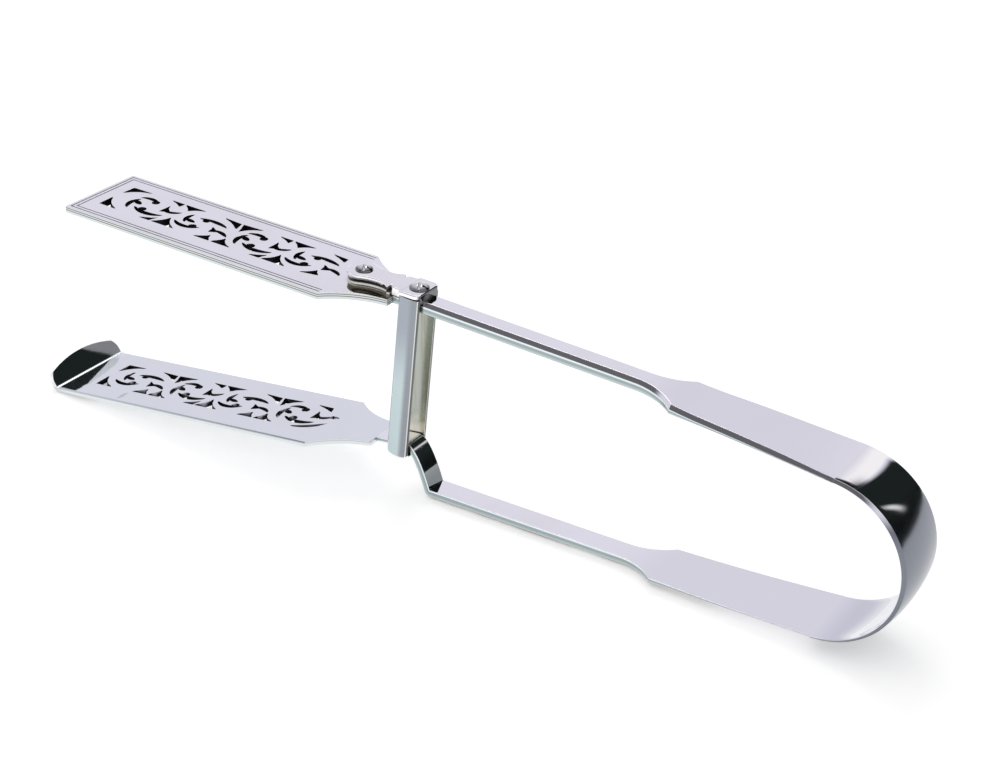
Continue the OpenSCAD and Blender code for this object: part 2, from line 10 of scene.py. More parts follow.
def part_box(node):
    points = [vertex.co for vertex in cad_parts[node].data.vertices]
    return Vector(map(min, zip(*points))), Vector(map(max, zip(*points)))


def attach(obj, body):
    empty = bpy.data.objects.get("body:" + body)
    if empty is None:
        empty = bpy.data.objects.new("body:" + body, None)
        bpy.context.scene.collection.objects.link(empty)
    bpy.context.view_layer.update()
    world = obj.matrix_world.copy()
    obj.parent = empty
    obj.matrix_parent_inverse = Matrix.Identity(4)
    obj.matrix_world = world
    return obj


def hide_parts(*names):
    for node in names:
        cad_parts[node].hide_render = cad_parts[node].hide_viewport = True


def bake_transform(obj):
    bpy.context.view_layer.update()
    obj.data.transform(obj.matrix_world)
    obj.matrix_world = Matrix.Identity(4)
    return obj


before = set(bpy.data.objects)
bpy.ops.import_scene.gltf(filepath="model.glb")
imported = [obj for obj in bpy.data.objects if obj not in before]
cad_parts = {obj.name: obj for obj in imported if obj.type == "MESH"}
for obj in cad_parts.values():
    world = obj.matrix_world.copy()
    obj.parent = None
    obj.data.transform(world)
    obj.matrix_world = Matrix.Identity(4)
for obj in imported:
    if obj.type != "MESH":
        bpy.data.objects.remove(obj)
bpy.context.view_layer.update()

bl_info = {
    "name": "Asparagus Tongs",
    "version": (1, 0, 0),
    "blender": (4, 5, 0),
    "location": "View3D > Sidebar > Tongs",
    "description": "Builds the silver pieces, finishes and stage of a pair of asparagus tongs",
    "category": "Object",
}

MM = 0.001
BLADES = ("lower_blade", "upper_blade")
SCREWS = ("blade_screw", "cap_screw")
# Half width of the pierced band, and what it leaves plain at each blade's tip and root
PIERCED_Y = 7.6 * MM
PIERCED_ENDS = {"lower_blade": (13 * MM, 18 * MM), "upper_blade": (5 * MM, 16 * MM)}
# Reach of the turned-up lip from the lower blade's tip
LIP_REACH = 7 * MM
# Distance from a soldered joint within which no edge is softened
JOINT_REACH = 0.6 * MM
# Where a point's drop from the upper to the lower edge of a handle's side is kept
DROP = "side_drop"
WHITE = (1.0, 1.0, 1.0, 1.0)


class SilverSettings(bpy.types.PropertyGroup):
    """Colours, wear and painted shade of the silver."""

    polished: bpy.props.FloatVectorProperty(
        name="Polished silver",
        description="Colour of the clean, polished faces",
        subtype="COLOR",
        size=3,
        min=0.0,
        max=1.0,
        default=(0.95, 0.935, 0.955),
    )
    warm: bpy.props.FloatVectorProperty(
        name="Warm bloom",
        description="Colour of the thin tarnish that clouds the faces",
        subtype="COLOR",
        size=3,
        min=0.0,
        max=1.0,
        default=(0.90, 0.875, 0.87),
    )
    # Painted shade on the side faces; their filing only makes them rougher
    painted_side_shade: bpy.props.FloatVectorProperty(
        name="Side edge shade",
        description="Painted shade on the plain side edges, which are also filed and less polished",
        subtype="COLOR",
        size=3,
        min=0.0,
        max=1.0,
        default=(0.50, 0.545, 0.545),
    )
    # Real tarnish in corners and grooves, also used for the painted shade of the threads along the
    # blades' sides
    tarnish_and_groove_shade: bpy.props.FloatVectorProperty(
        name="Crevice tarnish and groove shade",
        description="Colour of the tarnish left in corners and grooves, and of the painted shade in the side threads",
        subtype="COLOR",
        size=3,
        min=0.0,
        max=1.0,
        default=(0.20, 0.18, 0.14),
    )
    # Painted shade on the blades' side faces, by their direction
    edge: bpy.props.FloatVectorProperty(
        name="Blade edge",
        description="Colour of the blades' threaded side edges",
        subtype="COLOR",
        size=3,
        min=0.0,
        max=1.0,
        default=(0.66, 0.71, 0.73),
    )
    gloss: bpy.props.FloatProperty(
        name="Roughness",
        description="Roughness of the polished faces",
        subtype="FACTOR",
        min=0.0,
        max=1.0,
        default=0.045,
    )
    # Painted shade: the walls inside the piercing are painted near-black
    hole_wall_shade: bpy.props.FloatVectorProperty(
        name="Hole wall shade",
        description="Painted shade on the walls inside the pierced pattern",
        subtype="COLOR",
        size=3,
        min=0.0,
        max=1.0,
        default=(0.025, 0.025, 0.028),
    )
    # Painted shade low on the bow's outside; the handling there only adds roughness
    rubbed_and_shaded: bpy.props.FloatVectorProperty(
        name="Rubbed bow shade",
        description="Painted shade low on the bow's outside, which is also handled most",
        subtype="COLOR",
        size=3,
        min=0.0,
        max=1.0,
        default=(0.20, 0.215, 0.25),
    )


class BowSettings(bpy.types.PropertyGroup):
    """Sizes of the spring bow."""

    inner_r: bpy.props.FloatProperty(
        name="Inside radius",
        description="Radius of the bow's inner face",
        unit="LENGTH",
        min=1 * MM,
        default=20.75 * MM,
    )
    thickness: bpy.props.FloatProperty(
        name="Thickness",
        description="Thickness of the strap",
        unit="LENGTH",
        min=0.1 * MM,
        default=0.9 * MM,
    )
    lower_lean: bpy.props.FloatProperty(
        name="Lower lean",
        description="Angle of the lower grip where the bow begins",
        subtype="ANGLE",
        default=math.radians(2.8),
    )
    upper_lean: bpy.props.FloatProperty(
        name="Upper lean",
        description="Angle of the upper grip where the bow ends",
        subtype="ANGLE",
        default=math.radians(6),
    )
    bevel: bpy.props.FloatProperty(
        name="Bevel",
        description="Bevel along the strap's outer edges",
        unit="LENGTH",
        min=0.0,
        default=0.7 * MM,
    )
    edge_r: bpy.props.FloatProperty(
        name="Edge radius",
        description="Rounding of the strap's long edges",
        unit="LENGTH",
        min=0.0,
        default=0.08 * MM,
    )
    dome: bpy.props.FloatProperty(
        name="Dome",
        description="Swell of the strap across its width, away from the bow's two ends",
        unit="LENGTH",
        min=0.0,
        default=0.8 * MM,
    )
    steps: bpy.props.IntProperty(
        name="Steps",
        description="Cross sections along the bow",
        min=12,
        default=120,
    )


class HandleSettings(bpy.types.PropertyGroup):
    """Sizes of the two handles."""

    bar_w: bpy.props.FloatProperty(
        name="Bar width",
        description="Width of each handle bar",
        unit="LENGTH",
        min=1 * MM,
        default=6.4 * MM,
    )
    bar_t: bpy.props.FloatProperty(
        name="Bar thickness",
        description="Thickness of each handle bar",
        unit="LENGTH",
        min=0.5 * MM,
        default=2.8 * MM,
    )
    grip_w: bpy.props.FloatProperty(
        name="Shoulder width",
        description="Width of each grip at its shoulder",
        unit="LENGTH",
        min=1 * MM,
        default=15.6 * MM,
    )
    grip_t: bpy.props.FloatProperty(
        name="Shoulder thickness",
        description="Thickness of each grip at its shoulder",
        unit="LENGTH",
        min=0.5 * MM,
        default=1.7 * MM,
    )
    back_w: bpy.props.FloatProperty(
        name="Back width",
        description="Width of each grip where the bow begins",
        unit="LENGTH",
        min=1 * MM,
        default=20 * MM,
    )
    back_t: bpy.props.FloatProperty(
        name="Back thickness",
        description="Thickness of each grip where the bow begins",
        unit="LENGTH",
        min=0.5 * MM,
        default=0.9 * MM,
    )
    sweep_r: bpy.props.FloatProperty(
        name="Sweep radius",
        description="Radius of the sweep from the bar into the grip",
        unit="LENGTH",
        min=5 * MM,
        default=16 * MM,
    )
    bevel: bpy.props.FloatProperty(
        name="Bevel",
        description="Bevel along the outer edges, less where the metal is thin",
        unit="LENGTH",
        min=0.0,
        default=0.95 * MM,
    )
    bend_reach: bpy.props.FloatProperty(
        name="Bend reach",
        description="Half of the length over which a grip bends towards the other one",
        unit="LENGTH",
        min=1 * MM,
        default=23 * MM,
    )


class StageSettings(bpy.types.PropertyGroup):
    """Floor, light and camera."""

    floor_colour: bpy.props.FloatVectorProperty(
        name="Floor",
        description="Colour of the floor",
        subtype="COLOR",
        size=3,
        min=0.0,
        max=1.0,
        default=(0.95, 0.95, 0.95),
    )
    floor_size: bpy.props.FloatProperty(
        name="Floor size",
        description="Side of the square floor",
        unit="LENGTH",
        min=0.1,
        default=6.0,
    )
    floor_glow: bpy.props.FloatProperty(
        name="Floor glow",
        description="Share of the floor's white that doesn't depend on the lamps",
        subtype="FACTOR",
        min=0.0,
        max=1.0,
        default=0.32,
    )
    tent_colour: bpy.props.FloatVectorProperty(
        name="Light tent",
        description="Colour of the white tent that the silver mirrors",
        subtype="COLOR",
        size=3,
        min=0.0,
        max=1.0,
        default=(0.74, 0.735, 0.82),
    )
    card_colour: bpy.props.FloatVectorProperty(
        name="Dark cards",
        description="Colour of the dark cards that stand in the tent",
        subtype="COLOR",
        size=3,
        min=0.0,
        max=1.0,
        default=(0.012, 0.016, 0.016),
    )
    key_power: bpy.props.FloatProperty(
        name="Key light",
        description="Power of the large soft lamp above the object",
        unit="POWER",
        min=0.0,
        default=1.6,
    )
    focal: bpy.props.FloatProperty(
        name="Focal length",
        description="Focal length of the camera in millimetres, for a 36 mm wide sensor",
        min=10.0,
        default=72.0,
    )
    eye: bpy.props.FloatVectorProperty(
        name="Camera place",
        description="Where the camera stands",
        subtype="TRANSLATION",
        unit="LENGTH",
        size=3,
        default=(0.24386, -0.3759, 0.2691),
    )
    azimuth: bpy.props.FloatProperty(
        name="Azimuth",
        description="Turn of the camera about the upright axis",
        subtype="ANGLE",
        default=math.radians(31.28),
    )
    elevation: bpy.props.FloatProperty(
        name="Elevation",
        description="Angle by which the camera looks down",
        subtype="ANGLE",
        default=math.radians(27.673),
    )
    roll: bpy.props.FloatProperty(
        name="Roll",
        description="Tilt of the camera about its own axis",
        subtype="ANGLE",
        default=math.radians(1.542),
    )


class Graph:
    """Short hand for the nodes of one material or world."""

    def __init__(self, tree):
        self.tree = tree
        tree.nodes.clear()

    def add(self, kind, **values):
        node = self.tree.nodes.new(kind)
        for key, value in values.items():
            setattr(node, key, value)
        return node

    def link(self, source, socket):
        self.tree.links.new(source, socket)

    def feed(self, socket, value):
        """Sets a socket to a plain value or to another node's output."""
        if isinstance(value, bpy.types.NodeSocket):
            self.link(value, socket)
        elif value is not None:
            socket.default_value = value

    def math(self, operation, a, b=None, c=None):
        node = self.add("ShaderNodeMath", operation=operation)
        for socket, value in zip(node.inputs, (a, b, c)):
            self.feed(socket, value)
        return node.outputs[0]

    def vector(self, operation, a, b=None):
        node = self.add("ShaderNodeVectorMath", operation=operation)
        for socket, value in zip(node.inputs, (a, b)):
            self.feed(socket, value)
        return node.outputs["Value" if operation in ("DOT_PRODUCT", "LENGTH") else "Vector"]

    def ramp(self, value, low, high, to_low=0.0, to_high=1.0):
        """Smooth step of a value from one range to another."""
        node = self.add("ShaderNodeMapRange", interpolation_type="SMOOTHSTEP")
        for socket, given in zip(node.inputs, (value, low, high, to_low, to_high)):
            self.feed(socket, given)
        return node.outputs[0]

    def mix(self, share, a, b):
        """Mix of two colours."""
        node = self.add("ShaderNodeMix", data_type="RGBA")
        self.feed(node.inputs["Factor"], share)
        colours = [s for s in node.inputs if s.type == "RGBA"]
        for socket, value in zip(colours, (a, b)):
            self.feed(socket, value)
        return [s for s in node.outputs if s.type == "RGBA"][0]

    def noise(self, place, scale, detail=3.0, roughness=0.5):
        node = self.add("ShaderNodeTexNoise")
        self.feed(node.inputs["Vector"], place)
        self.feed(node.inputs["Scale"], scale)
        self.feed(node.inputs["Detail"], detail)
        self.feed(node.inputs["Roughness"], roughness)
        return node.outputs["Fac"]

    def stretched(self, place, turn, scale):
        """Coordinates turned about Z and stretched, for hairlines."""
        node = self.add("ShaderNodeMapping")
        self.feed(node.inputs["Vector"], place)
        self.feed(node.inputs["Rotation"], (0.0, 0.0, turn))
        self.feed(node.inputs["Scale"], scale)
        return node.outputs["Vector"]


def rgba(colour):
    """Colour of a setting with full cover."""
    return (*colour, 1.0)


def silver_material(
    name,
    settings,
    soft_edge,
    wear=1.0,
    pierced=None,
    rubbed_and_shaded=None,
    threads=None,
    joint=None,
    tint=None,
    lip=None,
):
    """Polished silver: clouded bloom, hairline scratches, filed edges with painted shade on them,
    and tarnished corners.

    pierced is the stretch of X with saw-cut walls in it, which take painted shade, and rubbed the
    centre of the bow whose outside is dulled and painted with shade low down, and whose hollow
    takes painted shade towards its back end. threads is a point of the top face, its rise along X
    and the depths of the lines of painted shade along the sides. joint is the X of a soldered
    joint, where no edge shows, and whether the piece lies below that X. tint adds a piece's own
    tones and its painted highlights, reflections and shade. lip is the X up to which a turned-up
    lip has a haze over its upper corner.
    """
    material = bpy.data.materials.new(name)
    material.use_nodes = True
    g = Graph(material.node_tree)
    coordinates = g.add("ShaderNodeTexCoord")
    place = coordinates.outputs["Object"]
    facing = g.add("ShaderNodeSeparateXYZ")
    g.link(coordinates.outputs["Normal"], facing.inputs[0])
    where = g.add("ShaderNodeSeparateXYZ")
    g.link(place, where.inputs[0])

    cloud = g.noise(place, 55.0, 4.0, 0.55)
    bloom = g.ramp(cloud, 0.42, 0.72)
    hair = None
    for turn, across in ((0.25, 2600.0), (-0.5, 3100.0), (1.3, 2300.0)):
        line = g.noise(g.stretched(place, turn, (45.0, across, across)), 1.0, 2.0)
        line = g.ramp(line, 0.66, 0.74)
        hair = line if hair is None else g.math("MAXIMUM", hair, line)
    patch = g.ramp(g.noise(place, 120.0, 2.0), 0.45, 0.65)
    hair = g.math("MULTIPLY", hair, patch)

    # Side faces, which take painted shade and more roughness
    if threads or tint is handle_tint:
        side = g.ramp(g.math("ABSOLUTE", facing.outputs["Z"]), 0.14, 0.30, 1.0, 0.0)
    else:
        side = g.ramp(g.math("ABSOLUTE", facing.outputs["Y"]), 0.80, 0.97)
    shade = g.add("ShaderNodeAmbientOcclusion", samples=8)
    shade.inputs["Distance"].default_value = 2.2 * MM
    corner = g.ramp(shade.outputs["AO"], 0.25, 0.75, 1.0, 0.0)
    corner = g.math("MULTIPLY", corner, g.ramp(cloud, 0.25, 0.65, 0.5, 1.0))

    clouded = g.math("MULTIPLY", bloom, 0.6 * wear)
    colour = g.mix(clouded, rgba(settings.polished), rgba(settings.warm))
    # Blades: painted shade on the side faces, and dark lines of painted shade where the threads'
    # grooves run
    if threads:
        start, rise, depths = threads
        top = g.math("MULTIPLY_ADD", g.math("SUBTRACT", where.outputs["X"], start.x), rise, start.z)
        depth = g.math("SUBTRACT", top, where.outputs["Z"])
        colour = g.mix(side, colour, rgba(settings.edge))
        for middle in depths:
            off = g.math("ABSOLUTE", g.math("SUBTRACT", depth, middle))
            line = g.math("MULTIPLY", side, g.ramp(off, 0.07 * MM, 0.17 * MM, 1.0, 0.0))
            colour = g.mix(line, colour, rgba(settings.tarnish_and_groove_shade))
    else:
        # Painted shade on the side faces
        colour = g.mix(side, colour, rgba(settings.painted_side_shade))
    if tint:
        colour = tint(g, place, where, facing, colour)
    colour = g.mix(g.math("MULTIPLY", corner, 0.75 * wear), colour, rgba(settings.tarnish_and_groove_shade))

    rough = g.math("MULTIPLY_ADD", bloom, 0.03 * wear, settings.gloss)
    rough = g.math("MULTIPLY_ADD", hair, 0.06 * wear, rough)
    rough = g.math("MULTIPLY_ADD", side, 0.14, rough)
    rough = g.math("MULTIPLY_ADD", corner, 0.25, rough)

    if lip:
        haze = g.math("MULTIPLY_ADD", where.outputs["Z"], 1.6, where.outputs["Y"])
        haze = g.math("MULTIPLY_ADD", g.noise(place, 70.0, 1.0), 9 * MM, haze)
        haze = g.ramp(haze, 16 * MM, 19 * MM)
        haze = g.math("MULTIPLY", haze, g.math("LESS_THAN", where.outputs["X"], lip))
        rough = g.math("MULTIPLY_ADD", haze, 0.34, rough)
    # Painted shade: the walls inside the piercing near-black, and rougher
    if pierced:
        wall = g.ramp(g.math("ABSOLUTE", facing.outputs["Z"]), 0.3, 0.45, 1.0, 0.0)
        for axis, low, high in (("X", *pierced), ("Y", -PIERCED_Y, PIERCED_Y)):
            wall = g.math("MULTIPLY", wall, g.math("GREATER_THAN", where.outputs[axis], low))
            wall = g.math("MULTIPLY", wall, g.math("LESS_THAN", where.outputs[axis], high))
        colour = g.mix(wall, colour, rgba(settings.hole_wall_shade))
        rough = g.math("MULTIPLY_ADD", wall, 0.3, rough)
    # Bow: painted shade on its outside low down, which is also rougher
    if rubbed_and_shaded:
        away = g.vector("SUBTRACT", place, tuple(rubbed_and_shaded))
        away = g.vector("MULTIPLY", away, (1.0, 0.0, 1.0))
        outward = g.vector("DOT_PRODUCT", away, coordinates.outputs["Normal"])
        dull_and_shaded = g.math("GREATER_THAN", outward, 0.0)
        low, high = rubbed_and_shaded.z + 12.5 * MM, rubbed_and_shaded.z + 17 * MM
        dull_and_shaded = g.math("MULTIPLY", dull_and_shaded, g.ramp(where.outputs["Z"], low, high, 1.0, 0.0))
        colour = g.mix(dull_and_shaded, colour, rgba(settings.rubbed_and_shaded))
        # Painted shade on the hollow of the bow, towards its back end
        hollow = g.math("LESS_THAN", outward, 0.0)
        inner = g.ramp(where.outputs["X"], rubbed_and_shaded.x, rubbed_and_shaded.x + 7 * MM)
        colour = g.mix(g.math("MULTIPLY", hollow, inner), colour, BOW_HOLLOW_SHADE)
        rough = g.math("MULTIPLY_ADD", dull_and_shaded, 0.12, rough)

    bevel = g.add("ShaderNodeBevel", samples=6)
    if joint:
        limit, below = joint
        inside = g.math("LESS_THAN" if below else "GREATER_THAN", where.outputs["X"], limit)
        g.link(g.math("MULTIPLY", inside, soft_edge), bevel.inputs["Radius"])
    else:
        bevel.inputs["Radius"].default_value = soft_edge
    bump = g.add("ShaderNodeBump")
    bump.inputs["Strength"].default_value = 0.05 * wear
    bump.inputs["Distance"].default_value = 0.02 * MM
    g.link(g.math("SUBTRACT", g.noise(place, 160.0, 2.0), hair), bump.inputs["Height"])
    g.link(bevel.outputs["Normal"], bump.inputs["Normal"])

    shader = g.add("ShaderNodeBsdfPrincipled")
    shader.inputs["Metallic"].default_value = 1.0
    g.link(colour, shader.inputs["Base Color"])
    g.link(rough, shader.inputs["Roughness"])
    g.link(bump.outputs["Normal"], shader.inputs["Normal"])
    out = g.add("ShaderNodeOutputMaterial")
    g.link(shader.outputs[0], out.inputs["Surface"])
    return material


# Middle of the smudge on the lower blade, in millimetres
SMUDGE = (-101.5, -10.2, 4.1)
# Top of the guide loop's middle in millimetres, as X and Z, and its lean in degrees
LOOP_TOP = (-9.22, 53.25)
LOOP_LEAN = 4.7
# Top face of the bridge plate: its height in millimetres at X 0 and its rise along X
BRIDGE_TOP = (57.79, -0.0393)
# Painted shade on the hollow of the bow
BOW_HOLLOW_SHADE = (0.72, 0.725, 0.77, 1.0)
# Lower blade: its cooler polish and the smudge
COOL_POLISH = (0.80, 0.85, 0.87, 1.0)
SMUDGE_GREY = (0.50, 0.48, 0.46, 1.0)
# Handles: grips worn by the hand, painted highlight and shade on the sides from their upper edge
# down, and painted shade on the steep crank
HAND_WORN = (0.855, 0.835, 0.865, 1.0)
HANDLE_SIDE_HIGHLIGHT = (0.84, 0.91, 0.95, 1.0)
HANDLE_SIDE_SHADE = (0.33, 0.395, 0.40, 1.0)
HANDLE_SIDE_FOOT_HIGHLIGHT = (0.56, 0.62, 0.63, 1.0)
CRANK_SHADE = (0.19, 0.21, 0.22, 1.0)
# Guide loop: painted reflection and shade on its outer face low down, high up, towards the handle
# and along its front edge
LOOP_LOW_REFLECTION = (0.55, 0.65, 0.67, 1.0)
LOOP_HIGH_REFLECTION = (0.37, 0.40, 0.455, 1.0)
LOOP_HANDLE_SHADE = (0.30, 0.325, 0.355, 1.0)
LOOP_EDGE_SHADE = (0.16, 0.17, 0.18, 1.0)
# Guide loop: painted reflection on its inner face near the foot and above, the streaks in it,
# painted reflection on its floor and painted shade on its sides
LOOP_BRASS_REFLECTION = (1.0, 0.97, 0.76, 1.0)
LOOP_INSIDE_REFLECTION = (0.44, 0.465, 0.42, 1.0)
LOOP_STREAK = (0.26, 0.24, 0.17, 1.0)
LOOP_FLOOR_REFLECTION = (0.72, 0.66, 0.40, 1.0)
LOOP_SIDE_SHADE = (0.15, 0.16, 0.15, 1.0)
# Bridge plate: painted highlight on its upper edge, painted shade in the hollow, a painted
# highlight on the foot below it and painted shade on the back end of the cap
BRIDGE_EDGE_HIGHLIGHT = (1.0, 1.0, 0.98, 1.0)
BRIDGE_HOLLOW_SHADE = (0.085, 0.08, 0.05, 1.0)
BRIDGE_FOOT_HIGHLIGHT = (1.0, 1.0, 0.93, 1.0)
CAP_BACK_SHADE = (0.16, 0.165, 0.17, 1.0)
# Painted shade on the screws' flanks
SCREW_FLANK_SHADE = (0.11, 0.115, 0.12, 1.0)


def steep_share(g, facing, low=0.84, high=0.94):
    """1 on faces that look along X, which take painted shade."""
    return g.ramp(g.math("ABSOLUTE", facing.outputs["X"]), low, high)


def lower_blade_tint(g, place, where, facing, colour):
    """Lower blade: a cooler polish with one small smudge beside the piercing."""
    cool = g.mix(0.55, colour, COOL_POLISH)
    away = g.vector("SUBTRACT", place, tuple(c * MM for c in SMUDGE))
    far = g.vector("LENGTH", g.vector("MULTIPLY", away, (1100.0, 400.0, 0.0)))
    ragged = g.math("MULTIPLY_ADD", g.noise(place, 900.0, 2.0), 0.8, far)
    return g.mix(g.ramp(ragged, 0.9, 1.5, 0.6, 0.0), cool, SMUDGE_GREY)


def bow_tint(g, place, where, facing, colour):
    """Grips and bow: worn by the hand, unlike the bars."""
    worn = g.ramp(where.outputs["X"], 52 * MM, 66 * MM, 0.0, 0.8)
    return g.mix(worn, colour, HAND_WORN)


def handle_tint(g, place, where, facing, colour):
    """Handles: painted highlight along the sides' upper edge and painted shade below it, grips more
    worn, painted shade on the steep crank.
    """
    colour = bow_tint(g, place, where, facing, colour)
    drop = g.add("ShaderNodeAttribute", attribute_name=DROP).outputs["Fac"]
    # Painted highlight along the sides' upper edge, painted shade below it and a lighter painted
    # foot
    tone = g.mix(g.ramp(drop, 0.10, 0.34), HANDLE_SIDE_HIGHLIGHT, HANDLE_SIDE_SHADE)
    tone = g.mix(g.ramp(drop, 0.45, 1.0), tone, HANDLE_SIDE_FOOT_HIGHLIGHT)
    side = g.ramp(g.math("ABSOLUTE", facing.outputs["Z"]), 0.14, 0.30, 1.0, 0.0)
    colour = g.mix(side, colour, tone)
    # Painted shade on the steep crank
    return g.mix(steep_share(g, facing), colour, CRANK_SHADE)


def loop_tint(g, place, where, facing, colour):
    """Guide loop: painted reflection, lighter towards the blade and darker towards the handle, and
    a brassy painted reflection inside.
    """
    front = g.ramp(g.math("ABSOLUTE", facing.outputs["Y"]), 0.75, 0.92)
    away = g.math("MULTIPLY", facing.outputs["Y"], where.outputs["Y"])
    outside = g.math("GREATER_THAN", away, 0.0)
    drop = g.math("SUBTRACT", where.outputs["Z"], LOOP_TOP[1] * MM)
    across = g.math("SUBTRACT", where.outputs["X"], LOOP_TOP[0] * MM)
    across = g.math("MULTIPLY_ADD", drop, -math.tan(math.radians(LOOP_LEAN)), across)
    # Painted reflection on the outer face, lighter low down, with painted shade towards the handle
    # and along the front edge
    near = g.mix(g.ramp(where.outputs["Z"], 30 * MM, 50 * MM), LOOP_LOW_REFLECTION, LOOP_HIGH_REFLECTION)
    outer = g.mix(g.ramp(across, 0.1 * MM, 1.7 * MM), near, LOOP_HANDLE_SHADE)
    outer = g.mix(g.ramp(across, -2.95 * MM, -2.6 * MM, 0.8, 0.0), outer, LOOP_EDGE_SHADE)
    # Painted reflection on the inner face, brassy near the foot
    inner = g.mix(g.ramp(where.outputs["Z"], 13 * MM, 21 * MM), LOOP_BRASS_REFLECTION, LOOP_INSIDE_REFLECTION)
    streak = g.noise(g.stretched(place, 0.0, (700.0, 700.0, 30.0)), 1.0, 3.0)
    inner = g.mix(g.ramp(streak, 0.5, 0.72, 0.0, 0.55), inner, LOOP_STREAK)
    colour = g.mix(g.math("MULTIPLY", front, outside), colour, outer)
    inside = g.math("SUBTRACT", 1.0, outside)
    colour = g.mix(g.math("MULTIPLY", front, inside), colour, inner)
    # Painted reflection on the bar under the neck, seen from above
    low = g.math("LESS_THAN", where.outputs["Z"], 20 * MM)
    floor = g.math("MULTIPLY", g.ramp(facing.outputs["Z"], 0.6, 0.9), low)
    colour = g.mix(floor, colour, LOOP_FLOOR_REFLECTION)
    # Painted shade on the strap's sides
    return g.mix(steep_share(g, facing, 0.6, 0.85), colour, LOOP_SIDE_SHADE)


def bridge_tint(g, place, where, facing, colour):
    """Bridge plate: painted highlight on its upper edge, dark brassy painted shade in the hollow
    below it and a painted highlight on the foot.
    """
    upright = g.ramp(facing.outputs["Z"], 0.5, 0.85, 1.0, 0.0)
    top = g.math("MULTIPLY_ADD", where.outputs["X"], BRIDGE_TOP[1], BRIDGE_TOP[0] * MM)
    depth = g.math("SUBTRACT", top, where.outputs["Z"])
    # The painted shade begins higher up where the tongue sweeps out to its root
    root = g.ramp(where.outputs["X"], -18.4 * MM, -16.9 * MM)
    below = g.math("MULTIPLY_ADD", root, 0.65 * MM, depth)
    tongue = g.ramp(where.outputs["X"], -15.4 * MM, -15.0 * MM, 1.0, 0.0)
    hollow = g.math("MULTIPLY", tongue, g.ramp(below, 0.9 * MM, 1.15 * MM))
    wall = g.mix(hollow, BRIDGE_EDGE_HIGHLIGHT, BRIDGE_HOLLOW_SHADE)
    wall = g.mix(g.ramp(depth, 2.3 * MM, 2.6 * MM), wall, BRIDGE_FOOT_HIGHLIGHT)
    # Painted shade keeps the back end of the cap dark
    wall = g.mix(g.ramp(facing.outputs["X"], 0.55, 0.85), wall, CAP_BACK_SHADE)
    return g.mix(upright, colour, wall)


def screw_tint(g, place, where, facing, colour):
    """Screws: painted shade where the dome falls away, the polished colour only on top."""
    flank = g.ramp(facing.outputs["Z"], 0.80, 0.97, 1.0, 0.25)
    return g.mix(flank, colour, SCREW_FLANK_SHADE)


def finish_node(name, material):
    """Gives a CAD node its finish."""
    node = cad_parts.get(name)
    if node is None:
        raise RuntimeError(f"the frame has no piece named {name}")
    node.data.materials.clear()
    node.data.materials.append(material)


def swept_piece(name, rings, collection, crease=math.radians(25)):
    """Closed mesh through rings of points, smooth but for its creases."""
    mesh = bmesh.new()
    loops = [[mesh.verts.new(point) for point in ring] for ring in rings]
    count = len(rings[0])
    for first, second in zip(loops, loops[1:]):
        for k in range(count):
            j = (k + 1) % count
            mesh.faces.new((first[k], first[j], second[j], second[k]))
    mesh.faces.new(loops[0])
    mesh.faces.new(loops[-1])
    bmesh.ops.recalc_face_normals(mesh, faces=mesh.faces)
    for face in mesh.faces:
        face.smooth = True
    data = bpy.data.meshes.new(name)
    mesh.to_mesh(data)
    mesh.free()
    data.set_sharp_from_angle(angle=crease)
    piece = bpy.data.objects.new(name, data)
    collection.objects.link(piece)
    return piece


def smooth(value, low, high):
    """Smooth step from 0 at low to 1 at high."""
    t = min(1.0, max(0.0, (value - low) / (high - low)))
    return t * t * (3 - 2 * t)


# Side that a bevel leaves at least
BEVEL_LAND = 0.2 * MM
# Points of a ring that lie on the outer face or its bevels
OUTER_POINTS = (1, 2, 3, 4)
# Distances before and behind the sweep over which the bar thins into the grip
THIN_BEFORE, THIN_BEHIND = 3 * MM, 8 * MM
# Longest step along a bend
BEND_STEP = 0.5 * MM


def handle_rings(s, start, heading, outward, bar_l, grip_l, bend, bend_x):
    """Rings along a bar and its grip, from the bar's front end on its inner face.

    heading is the bar's angle to X, outward the side of the outer face (1 above, -1 below)
    and bend the turn of the grip, spread over bend_reach on both sides of bend_x.
    """
    half = s.bar_w / 2
    sweep_l = math.sqrt(s.sweep_r**2 - (s.sweep_r - (s.grip_w - s.bar_w) / 2) ** 2)
    sweep_x = bar_l - sweep_l
    marks = [sweep_x * k / 8 for k in range(8)]
    marks += [sweep_x + sweep_l * k / 16 for k in range(16)]
    marks += [bar_l + grip_l * k / 30 for k in range(31)]
    rings = []
    place = Vector(start)
    at = 0.0
    for mark in marks:
        # Short steps, so that the bend follows its curve
        steps = max(1, math.ceil((mark - at) / BEND_STEP))
        for k in range(steps):
            middle = at + (mark - at) * (k + 0.5) / steps
            a = heading + bend * smooth(middle, bend_x - s.bend_reach, bend_x + s.bend_reach)
            place = place + Vector((math.cos(a), 0, math.sin(a))) * ((mark - at) / steps)
        at = mark
        a = heading + bend * smooth(at, bend_x - s.bend_reach, bend_x + s.bend_reach)
        out = Vector((-math.sin(a), 0, math.cos(a))) * outward
        share = (at - bar_l) / grip_l
        if at <= sweep_x:
            wide = half
        elif at < bar_l:
            wide = half + s.sweep_r - math.sqrt(s.sweep_r**2 - (at - sweep_x) ** 2)
        else:
            wide = (s.grip_w + (s.back_w - s.grip_w) * share) / 2
        grip_t = s.grip_t + (s.back_t - s.grip_t) * share
        thinned = smooth(at, sweep_x - THIN_BEFORE, bar_l + THIN_BEHIND)
        thick = s.bar_t + (grip_t - s.bar_t) * thinned
        rings.append(bevelled_ring(place, out, wide, thick, min(s.bevel, thick - BEVEL_LAND)))
    return rings


